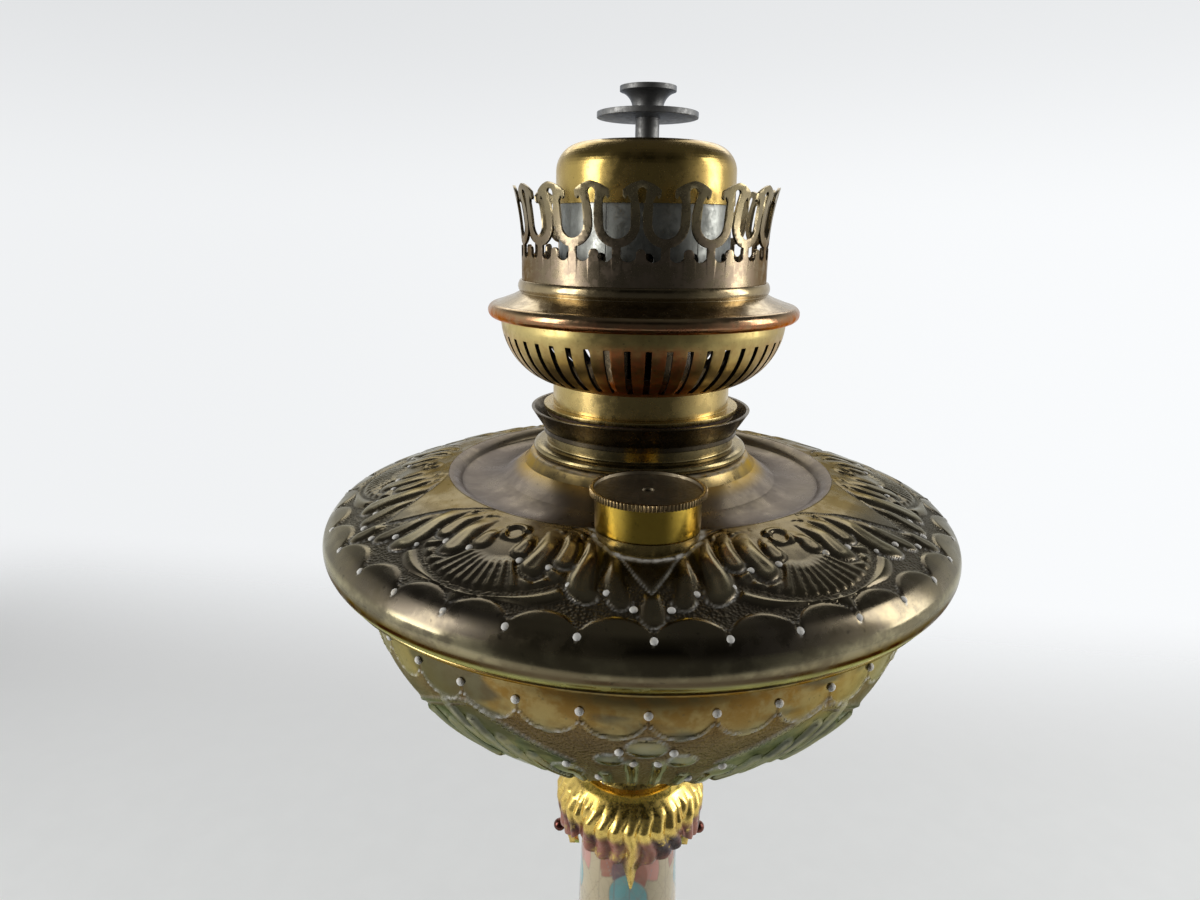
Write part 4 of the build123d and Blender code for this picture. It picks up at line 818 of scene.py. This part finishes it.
    def glaze(self, cream):
        """Cream glaze with painted sprays, brown crazing and a clear gloss."""
        _, t, shader, place = new_material("Glaze")
        paint = t.add("ShaderNodeAttribute", attribute_name="paint").outputs
        cloud = t.ramp(t.noise(place, 55.0, 4.0, 0.6), 0.3, 0.7)
        ware = t.mix(cloud, rgba(cream), rgba(cream, 0.80))
        wash = t.times(paint["Alpha"], t.ramp(t.noise(place, 320.0, 3.0, 0.6), 0.1, 0.6, 0.75, 1.0))
        ware = t.mix(wash, ware, paint["Color"])
        crack = t.cells(place, 260.0, "DISTANCE_TO_EDGE")
        line = t.times(t.ramp(crack, 0.0, 0.035, 1.0, 0.0), 0.18)
        t.give(shader, {
            "Base Color": t.mix(line, ware, (0.20, 0.13, 0.07, 1.0)),
            "Roughness": t.ramp(t.noise(place, 90.0), 0.3, 0.7, 0.10, 0.24),
            "Coat Weight": 0.6,
            "Coat Roughness": 0.06,
            "Normal": t.bump(0.15, 0.0005, t.noise(place, 160.0)),
        })


class LAMP_OT_font_top(bpy.types.Operator):
    """Embossed shoulder, rolled rim and plain crest of the font's top, with the punched beads"""

    bl_idname = "lamp.font_top"
    bl_label = "Font top"

    def execute(self, context):
        sizes = context.scene.lamp_sizes
        angle = around(24 * sizes.rim_beads)
        inner = np.linspace(SHOULDER_START, SHOULDER_EDGE[0], 90)
        slope = np.stack([inner, shoulder_height(inner)], axis=-1)
        roll = arc(SHOULDER_EDGE, (FONT_RADIUS, 322.0), RIM_LIP, 19)[1:]
        under = [(65.9, 315.7), (65.9, 316.5), (70.0, 316.5), (72.5, 322.0), (70.0, 325.3), (58.85, 329.5)]
        profile = np.concatenate([slope, roll, under, [(SHOULDER_START, 333.4)]])
        worked = len(slope) + 6
        lift = np.zeros((len(profile), angle.size))
        marks = blank_marks(lift)
        height, residue, marks["ground"][:worked] = font_relief(angle, profile[:worked, :1] + 0 * angle)
        lift[:worked] = height * sizes.relief
        marks["residue"][:worked] = np.maximum(residue, filler_residue(angle, profile[:worked, :1]))
        marks["crest"][:worked] = 0.75 * np.clip(height / 0.9, 0, 1)
        # Lighter rubbed brass in a band set low on the rim's roll: rubbed wear, and also a painted highlight
        # placed to lower the rim's highlight.
        row = np.arange(len(roll))[:, None]
        marks["crest"][len(slope):len(slope) + len(roll)] = spread(row, 2, 7) * spread(12 - row, 0, 3)
        mesh = swept("font_shoulder", profile, angle, profile_normals(profile, 1), lift)
        finish_piece(mesh, "stand", "Font bronze", ["font_top"], marks)
        self.crest()
        self.beads(sizes)
        return {"FINISHED"}

    def crest(self):
        """Plain ridge, valley and neck inside the shoulder."""
        start, valley, neck = (45.2, shoulder_height(45.2)), (42.0, 332.1), (25.6, 338.5)
        ridge = arc(start, (43.5, 333.7), valley, 14)
        slope = arc(valley, (34.5, 332.0), neck, 26)[1:]
        outer = np.concatenate([ridge, slope, [(22.05, 338.5)]])
        inside = [(22.05, 337.7), (25.2, 337.7), (34.5, 331.2), (42.0, 331.3), (45.2, 333.3)]
        profile = np.concatenate([outer, inside])
        angle = around(256)
        residue = filler_residue(angle, profile[:, :1])
        residue[:len(outer)] += 0.7 * bell((outer[:, :1] - 25.4) / 0.25)
        mesh = swept("font_crest", profile, angle)
        finish_piece(mesh, "stand", "Crest bronze", marks={"residue": residue})

    def beads(self, sizes):
        spots = [(360 * i / sizes.rim_beads, 71.2) for i in range(sizes.rim_beads)]
        for sixth in range(6):
            for angle, radius in FONT_BEADS:
                under_filler = sixth == 0 and radius < 57 and angle < 8
                if not under_filler:
                    spots += [(FONT_UNIT * sixth + angle, radius), (FONT_UNIT * sixth - angle, radius)]
        angle, radius = np.radians([spot[0] for spot in spots]), np.array([spot[1] for spot in spots])
        edge = SHOULDER_EDGE[0]
        height = shoulder_height(np.minimum(radius, edge)) + 0.15 - 0.9 * np.maximum(radius - edge, 0)
        tilt = np.where(radius > 70, 0.75, 0.36)
        outward = np.stack([np.sin(angle) * tilt, -np.cos(angle) * tilt, np.ones_like(angle)], axis=-1)
        set_beads("font_beads", turn(radius, height, angle), outward, sizes.bead_radius, 0.5)


class LAMP_OT_font_bowl(bpy.types.Operator):
    """Embossed bowl of the font, with its scallops, flutes and beads"""

    bl_idname = "lamp.font_bowl"
    bl_label = "Font bowl"

    def execute(self, context):
        sizes = context.scene.lamp_sizes
        angle = around(24 * sizes.bowl_beads)
        bend = np.concatenate([np.linspace(0, 70, 100), np.linspace(72, 86, 7)])
        top = [(70.5, 315.7), (70.5, 314.95), (64.6, 314.9), (BOWL_RADIUS, 314.4), (BOWL_RADIUS, 312.0)]
        inside = [(4.4, 266.9), (30.0, 272.0), (63.2, 310.0), (63.2, 315.7)]
        profile = np.concatenate([top, np.stack(bowl_point(bend), axis=-1), inside])
        curve = slice(len(top), len(top) + len(bend))
        lift = np.zeros((len(profile), angle.size))
        marks = blank_marks(lift)
        rise, marks["residue"][curve], marks["ground"][curve] = bowl_relief(angle, bend[:, None] + 0 * angle)
        lift[curve] = rise * sizes.relief
        marks["crest"][curve] = np.clip(rise / 0.8, 0, 1)
        way = np.zeros_like(profile)
        way[curve] = np.stack(bowl_normal(bend), axis=-1)
        way /= np.maximum(np.linalg.norm(way, axis=1), 1e-9)[:, None]
        mesh = swept("font_bowl_embossed", profile, angle, way, lift)
        finish_piece(mesh, "stand", "Bowl bronze", ["font_bowl"], marks)
        self.beads(sizes)
        return {"FINISHED"}

    def beads(self, sizes):
        count = sizes.bowl_beads
        spots = [(360 * (i + 0.5) / count + 180 / count, 3.6) for i in range(count)]
        for third in range(3):
            for turned, down in BOWL_EYES:
                spots += [(BOWL_UNIT * third + turned, down), (BOWL_UNIT * third - turned, down)]
        spots = np.array(spots)
        around_axis, bent = np.radians(spots[:, 0]), spots[:, 1]
        flat, drop = bowl_normal(bent)
        outward = np.stack([np.sin(around_axis) * flat, -np.cos(around_axis) * flat, drop], axis=-1)
        outward /= np.linalg.norm(outward, axis=1)[:, None]
        points = turn(*bowl_point(bent), around_axis) + outward * 0.2
        set_beads("bowl_beads", points, outward, sizes.bead_radius * 1.15, 0.7)


class LAMP_OT_burner(bpy.types.Operator):
    """Turned and pierced pieces of the burner, gallery, collar and filler"""

    bl_idname = "lamp.burner"
    bl_label = "Burner and filler"

    # Where the cap's finishes change, in metres
    RECESS_HEIGHT, RIM_HEIGHT, RECESS_RADIUS = 0.3405, 0.3398, 0.0102
    # Outlines as (radius, height)
    COLLAR = [
        (20.6, 336.0), (22.0, 336.0), (22.0, 338.5), (23.8, 338.5), (24.8, 338.9), (25.2, 339.65),
        (24.8, 340.4), (23.8, 340.8), (22.0, 340.8), (22.0, 347.8), (20.6, 347.8),
    ]
    DRIP_RING = [
        (22.05, 343.2), (22.05, 344.6), (24.9, 349.0), (25.6, 349.0), (25.6, 348.75), (22.75, 344.4),
        (22.75, 343.2),
    ]
    FINISHES = {
        "gallery_plate": "Gallery copper", "gallery_crown": "Prong brass", "air_plate": "Gallery copper",
        "dome_sleeve": "Zinc", "burner_base": "Burner brass", "filler_neck": "Burner brass",
        "spreader_stem": "Iron", "spreader_disc": "Iron", "spreader_button": "Iron",
        "wick_tube": "Dark brass", "draught_tube": "Dark brass", "spreader_socket": "Dark brass",
        "winder_bush": "Burner brass", "winder_shaft": "Steel", "winder_gears": "Dark brass",
        "winder_bracket": "Dark brass", "winder_knob": "Burner brass", "wick": "Cotton",
        "burner_gasket": "Leather", "filler_washer": "Leather",
    }

    def execute(self, context):
        outer = arc((19.8, 401.0), (18.043, 405.243), (13.8, 407.0), 14)[1:]
        inner = arc((13.8, 406.4), (17.62, 404.82), (19.2, 401.0), 10)
        outline = [(19.8, 394.2), (19.8, 401.0), *outer, (12.5, 407.0), (12.5, 406.4), *inner, (19.2, 394.2)]
        lathe("burner_dome", soft_corners(outline, 0.12, 2), "Dome brass")
        lathe("font_collar", soft_corners(self.COLLAR, 0.3), "Collar brass")
        lathe("drip_ring", soft_corners(self.DRIP_RING, 0.16), "Drip brass")
        for node, finish in self.FINISHES.items():
            dressed(node, finish)
        # The basket's inward faces get near-black brass, painted shade that darkens its slots.
        dressed("burner_basket", "Basket brass", inlays=[("Shaded inner brass", self.inward)])
        dressed("filler_cap", "Cap brass", inlays=[("Cap top", self.cap_recess), ("Cap rim", self.cap_rim)])
        return {"FINISHED"}

    @staticmethod
    def inward(face):
        return face.normal.xy @ face.center.xy < 0

    @staticmethod
    def from_cap_axis(face):
        return (face.center - Vector((0, -FILLER_REACH * MM, 0))).xy.length

    @classmethod
    def cap_recess(cls, face):
        return face.center.z > cls.RECESS_HEIGHT and cls.from_cap_axis(face) < cls.RECESS_RADIUS

    @classmethod
    def cap_rim(cls, face):
        return face.center.z > cls.RIM_HEIGHT and cls.from_cap_axis(face) >= cls.RECESS_RADIUS


class LAMP_OT_capital(bpy.types.Operator):
    """Carved leaf capital, its screws and the boss over it"""

    bl_idname = "lamp.capital"
    bl_label = "Capital"

    STEPS, ROWS = 480, 70
    TOP, INNER_RADIUS, WALL = 251.0, 13.4, 1.5
    STRAND_ANGLE = 11.25
    # Heights and the radius at each
    SECTION = (
        [222.0, 226.0, 231.0, 236.0, 240.0, 244.0, 247.5, 250.0, 251.0],
        [14.9, 15.6, 16.9, 18.3, 19.2, 19.4, 18.2, 15.6, 14.0],
    )

    def execute(self, context):
        angle = around(self.STEPS)
        leaf = (np.degrees(angle) + 45) % 90 - 45
        side = np.abs(leaf) / 45
        bottom = 239.6 - 5.6 * dome(side) - 9.6 * bell(leaf / 5.0)
        share = np.linspace(0, 1, self.ROWS)[:, None]
        height = self.TOP + (bottom - self.TOP) * share
        plain = np.interp(height, *self.SECTION)
        splay = leaf * (1 + 0.016 * (height - 244.0))
        depth = spread(252.0 - height, 2.0, 8.0)
        strand = np.abs(np.cos(np.radians(splay + 2.2 * np.sin(height * 0.55)) * 180 / self.STRAND_ANGLE))
        valley = 1.2 * bell((side - 1) * 45 / 3.2) * depth
        rib = 0.7 * bell(leaf / 2.6) * spread(244.0 - height, 0, 10)
        curl = 0.9 * spread(share, 0.72, 1.0) * (1 - bell(leaf / 9.0))
        radius = plain + depth * (1.05 * strand - 0.65) - valley + rib + curl
        inner = np.maximum(plain - self.WALL, self.INNER_RADIUS)
        lining = turn(inner[::-1] - 0.2 * share[::-1], height[::-1], angle)
        points = np.concatenate([turn(radius, height, angle), lining]).reshape(-1, 3)
        mesh = mesh_from("capital_leaves", points, loop_quads(2 * self.ROWS, self.STEPS))
        hem = spread(242.6 - height, 0.0, 2.5) * (1 - bell(leaf / 4.5))
        hem = np.concatenate([hem, np.zeros_like(hem)])
        finish_piece(mesh, "stand", "Painted gilt", ["capital"], {"hem": hem})
        dressed("capital_screws", "Copper screw")
        dressed("font_boss", "Gilt", 0.0002)
        return {"FINISHED"}


class LAMP_OT_column(bpy.types.Operator):
    """Glazed column with painted sprays of leaves and flowers"""

    bl_idname = "lamp.column"
    bl_label = "Column"

    STEPS, ROWS = 220, 400
    FOOT, TOP = 49.5, 237.0
    FOOT_RADIUS, TOP_RADIUS, SWELL, BORE = 17.5, 12.6, 0.55, 6.0
    PAINT_RADIUS = 14.5
    TEAL, PLUM, RUST = (0.10, 0.36, 0.38), (0.085, 0.035, 0.075), (0.36, 0.10, 0.05)
    PINK, GOLD = (0.62, 0.26, 0.20), (0.50, 0.33, 0.08)
    # Petals under the capital: degrees from a leaf's middle, height, length, width, lean and colour
    TOP_PETALS = (
        (-22, 229, 13, 7, 0.5, RUST), (22, 228, 13, 7, -0.5, PINK), (-10, 227, 12, 6, 0.2, PLUM),
        (11, 226, 11, 5, -0.2, RUST), (-3, 218, 15, 8, 0.1, TEAL), (9, 219, 12, 6, -0.35, TEAL),
        (-13, 221, 11, 5, 0.45, TEAL), (4, 211, 9, 4, 0.0, PLUM),
    )
    # Painted rings at the foot: lower edge, upper edge and colour
    RINGS = ((66.2, 67.4, RUST), (68.6, 69.2, GOLD))

    def execute(self, context):
        angle = around(self.STEPS)
        height = np.linspace(self.FOOT, self.TOP, self.ROWS)[:, None]
        share = (height - self.FOOT) / (self.TOP - self.FOOT)
        taper = (self.TOP_RADIUS - self.FOOT_RADIUS) * share
        radius = self.FOOT_RADIUS + taper + 4 * self.SWELL * share * (1 - share)
        self.x = (np.degrees(angle) + 180) % 360 - 180
        self.y = height + 0 * angle
        self.paint = np.zeros((self.ROWS, self.STEPS, 4))
        self.design()
        inner = turn(self.BORE, np.array([[self.TOP], [self.FOOT]]), angle)
        points = np.concatenate([turn(radius, height, angle), inner]).reshape(-1, 3)
        mesh = mesh_from("column_glazed", points, loop_quads(self.ROWS + 2, self.STEPS))
        layer = mesh.attributes.new("paint", "FLOAT_COLOR", "POINT")
        flat = np.concatenate([self.paint.reshape(-1, 4), np.zeros((2 * self.STEPS, 4))])
        layer.data.foreach_set("color", flat.astype(np.float32).ravel())
        finish_piece(mesh, "stand", "Glaze", ["column_shaft"])
        return {"FINISHED"}

    def petal(self, where, length, width, lean, shade, cover=0.9):
        """A soft-edged leaf-shaped dab of paint: place as (degrees, height), sizes in millimetres."""
        dx = ((self.x - where[0] + 180) % 360 - 180) * radians(1) * self.PAINT_RADIUS
        dy = self.y - where[1]
        along = dx * sin(lean) + dy * cos(lean)
        across = dx * cos(lean) - dy * sin(lean)
        taper = np.clip(1 - (2 * along / length) ** 2, 0, 1)
        self.lay(cover * spread(width / 2 * taper - np.abs(across), -0.25, 0.35), shade)

    def lay(self, mask, shade):
        """Paint over what is there."""
        mask = mask[..., None]
        self.paint[..., :3] = self.paint[..., :3] * (1 - mask) + np.array(shade) * mask
        self.paint[..., 3:] = np.maximum(self.paint[..., 3:], mask)

    def design(self):
        for quarter in range(4):
            for shift, drop, *dab in self.TOP_PETALS:
                self.petal((90 * quarter + shift, drop), *dab)
        for i in range(11):
            self.sprig(137.5 * i + 40, 196 - 13.2 * i, 0.6 * (-1) ** i)
        for low, high, shade in self.RINGS:
            self.lay(0.9 * spread(self.y, low, low + 0.3) * spread(-self.y, -high, -high + 0.3), shade)

    def sprig(self, turned, height, lean):
        """A stem with three leaves and a flower of five petals."""
        self.petal((turned, height), 22, 0.9, lean, self.GOLD, 0.8)
        for step, tilt in ((-7, 1.0), (-3, -1.0), (2, 0.9)):
            self.petal((turned + 9 * np.sign(tilt), height + step), 8, 3.4, lean + tilt, self.TEAL)
        for i in range(5):
            spin = 2 * pi * i / 5
            spot = (turned + 12 * lean + 11 * sin(spin), height + 9 + 2.6 * cos(spin))
            self.petal(spot, 5, 3.4, spin, self.PINK if i % 2 else self.RUST)
        self.petal((turned + 12 * lean, height + 9), 2.2, 2.2, 0, self.PLUM)


class LAMP_OT_foot(bpy.types.Operator):
    """Embossed foot with its bead row, the cup, and the pieces under them"""

    bl_idname = "lamp.foot"
    bl_label = "Foot"

    STEPS, GADROONS = 720, 36
    GROOVE_RADIUS, GROOVE_RISE = 1.6, 0.8
    # Outline of the foot as (radius, height): its edge, and from its neck through the hollow inside
    EDGE = [(68.5, 0.0), (69.75, 0.0), (70.0, 0.25), (70.0, 3.2), (69.7, 3.5), (66.8, 3.5), (66.5, 3.8)]
    INSIDE = [
        (25.0, 43.2), (24.7, 43.5), (4.4, 43.5), (4.4, 42.0), (23.5, 42.0), (23.5, 39.5), (29.8, 24.3),
        (45.0, 18.0), (56.5, 18.0), (65.0, 9.5), (65.0, 2.0), (68.5, 2.0),
    ]
    FINISHES = {
        "column_cup": "Gilt", "foot_plate": "Steel", "foot_weight": "Cast iron", "tie_rod": "Steel",
        "tie_rod_nut": "Steel", "tie_rod_washer": "Steel",
    }

    def execute(self, context):
        sizes = context.scene.lamp_sizes
        angle = around(self.STEPS)
        torus = arc((66.5, 9.5), (63.571, 16.571), (56.5, 19.5), 34)
        scotia = arc((45.0, 19.5), (30.858, 25.358), (25.0, 39.5), 40)
        profile = np.concatenate([self.EDGE, torus, scotia, self.INSIDE])
        lift = np.zeros((len(profile), self.STEPS))
        marks = blank_marks(lift)
        worked = slice(len(self.EDGE), len(self.EDGE) + len(torus))
        along = np.linspace(0, 1, len(torus))[:, None]
        half = 180 / self.GADROONS
        part = np.abs((np.degrees(angle) % (2 * half)) - half) / half
        side = (1 - part) * radians(half) * torus[:, :1]
        cut = np.sqrt(np.clip(self.GROOVE_RADIUS**2 - side**2, 0, None)) - self.GROOVE_RISE
        length = spread(along, 0.03, 0.10) * spread(1 - along, 0.05, 0.14)
        lift[worked] = -(np.maximum(cut, 0) + 0.3 * part**3) * length
        marks["residue"][worked] = 0.5 * bell(side / 0.3) * length
        marks["crest"] = np.clip(1 + lift / 0.4, 0, 1) * 0.6
        mesh = swept("foot_embossed", profile, angle, profile_normals(profile, -1), lift * sizes.relief)
        finish_piece(mesh, "stand", "Foot brass", ["foot_shell"], marks)
        spot = around(sizes.foot_beads)[0]
        outward = np.tile([0.0, 0.0, 1.0], (len(spot), 1))
        set_beads("foot_beads", turn(50.5, 19.5, spot), outward, sizes.bead_radius * 1.5, 0.75)
        for node, finish in self.FINISHES.items():
            dressed(node, finish, 0.0002)
        return {"FINISHED"}


class LAMP_OT_stage(bpy.types.Operator):
    """Floor, studio light and the photograph's camera"""

    bl_idname = "lamp.stage"
    bl_label = "Stage"

    FLOOR_RADIUS = 6.0
    AIM = Vector((0, 0, 0.35))
    PANEL_SIZE, BACK_SIZE = (0.28, 0.60), (1.8, 0.8)
    LEFT, RIGHT, BEHIND = (-0.75, -0.24, 0.52), (0.80, 0.0, 0.56), (0.0, 1.3, 1.3)
    CAMERA_PLACE = (0, -0.1881, 0.3893)
    YAW, PITCH, ROLL, TURNED = radians(-2.85), radians(15.36), radians(0.75), radians(-2.6)

    def execute(self, context):
        settings = context.scene.lamp_stage
        self.floor(settings)
        self.lights(settings)
        self.world(context.scene)
        self.camera(context.scene, settings)
        context.scene.view_settings.view_transform = "Standard"
        return {"FINISHED"}

    def floor(self, settings):
        """Pale paper that fades into the backdrop behind, before and beside the lamp."""
        work = bmesh.new()
        bmesh.ops.create_circle(work, cap_ends=True, segments=96, radius=self.FLOOR_RADIUS)
        mesh = bpy.data.meshes.new("floor")
        work.to_mesh(mesh)
        work.free()
        material, t, shader, place = new_material("Floor")
        x, y, _ = t.parts(place)
        grain = t.ramp(t.noise(place, 40.0, 3.0), 0.3, 0.7)
        paper = t.mix(grain, rgba(settings.floor), rgba(settings.floor, 0.98))
        far = t.ramp(y, 0.10, 0.60)
        behind = t.ramp(t.math("ADD", y, t.times(x, 0.15)), 0.36, 0.70, 1.0, 0.0)
        before = t.ramp(y, -0.55, -0.30)
        beside = t.ramp(t.math("ABSOLUTE", x), 0.60, 0.95, 1.0, 0.0)
        t.give(shader, {
            "Base Color": t.mix(far, paper, (0.98, 0.985, 0.98, 1.0)), "Roughness": 0.9,
            "Alpha": t.times(t.times(behind, before), beside),
        })
        mesh.materials.append(material)
        floor = placed("floor", mesh)

    def lights(self, settings):
        for name, spot, size, power in (
            ("panel_left", self.LEFT, self.PANEL_SIZE, settings.strip_power),
            ("panel_right", self.RIGHT, self.PANEL_SIZE, settings.strip_power),
            ("behind", self.BEHIND, self.BACK_SIZE, settings.top_power),
        ):
            data = bpy.data.lights.new(name, "AREA")
            data.shape = "RECTANGLE"
            data.size, data.size_y = size
            data.energy = power
            lamp = placed(name, data)
            lamp.location = spot
            lamp.rotation_euler = (self.AIM - Vector(spot)).to_track_quat("-Z", "Y").to_euler()

    def world(self, scene):
        """White all round and behind, darker above and in front; the camera sees the backdrop's colour."""
        world = bpy.data.worlds.new("Studio")
        scene.world = world
        world.use_nodes = True
        t = Tree(world.node_tree)
        x, y, z = t.parts(t.add("ShaderNodeTexCoord").outputs["Generated"])
        light = t.times(t.ramp(y, -0.80, -0.10, 0.07, 0.88), t.ramp(z, 0.15, 0.65, 1.0, 0.10))
        backdrop = t.times(t.ramp(x, -0.6, 0.6, 0.90, 0.98), t.ramp(z, 0.0, 0.25, 1.0, 0.86))
        seen = t.add("ShaderNodeLightPath").outputs["Is Camera Ray"]
        level = t.add("ShaderNodeMix", {0: seen, 2: light, 3: backdrop}).outputs[0]
        t.give(world.node_tree.nodes["Background"], {"Color": (0.97, 0.985, 1.0, 1.0), "Strength": level})

    def camera(self, scene, settings):
        data = bpy.data.cameras.new("camera")
        data.sensor_fit = "HORIZONTAL"
        data.sensor_width = 36.0
        data.lens = settings.lens
        data.clip_start = 0.01
        camera = placed("camera", data)
        yaw, pitch, roll = self.YAW, self.PITCH, self.ROLL
        right = Vector((cos(yaw), -sin(yaw), 0))
        ahead = Vector((cos(pitch) * sin(yaw), cos(pitch) * cos(yaw), -sin(pitch)))
        up = Vector((sin(pitch) * sin(yaw), sin(pitch) * cos(yaw), cos(pitch)))
        image_right = right * cos(roll) + up * sin(roll)
        image_up = up * cos(roll) - right * sin(roll)
        axes = Matrix((image_right, image_up, -ahead)).transposed().to_4x4()
        turned = Matrix.Rotation(self.TURNED, 4, "Z")
        camera.matrix_world = turned @ Matrix.Translation(self.CAMERA_PLACE) @ axes
        scene.camera = camera


OPERATORS = (
    LAMP_OT_finishes, LAMP_OT_font_top, LAMP_OT_font_bowl, LAMP_OT_burner, LAMP_OT_capital, LAMP_OT_column,
    LAMP_OT_foot, LAMP_OT_stage,
)


class LAMP_PT_panel(bpy.types.Panel):
    """Lists the lamp's settings and the operators that build it"""

    bl_label = "Paraffin lamp"
    bl_idname = "LAMP_PT_panel"
    bl_space_type = "VIEW_3D"
    bl_region_type = "UI"
    bl_category = "Lamp"

    def draw(self, context):
        for group_name in ("lamp_sizes", "lamp_colours", "lamp_stage"):
            values = getattr(context.scene, group_name)
            box = self.layout.box()
            for key in values.__annotations__:
                box.prop(values, key)
        for operator in OPERATORS:
            self.layout.operator(operator.bl_idname)


CLASSES = (LampSizes, LampColours, LampStage, *OPERATORS, LAMP_PT_panel)


def register():
    for item in CLASSES:
        bpy.utils.register_class(item)
    bpy.types.Scene.lamp_sizes = PointerProperty(type=LampSizes)
    bpy.types.Scene.lamp_colours = PointerProperty(type=LampColours)
    bpy.types.Scene.lamp_stage = PointerProperty(type=LampStage)


def unregister():
    del bpy.types.Scene.lamp_stage, bpy.types.Scene.lamp_colours, bpy.types.Scene.lamp_sizes
    for item in reversed(CLASSES):
        bpy.utils.unregister_class(item)


def main():
    register()
    for name in ("finishes", "font_top", "font_bowl", "burner", "capital", "column", "foot", "stage"):
        getattr(bpy.ops.lamp, name)()


if __name__ == "__main__":
    main()
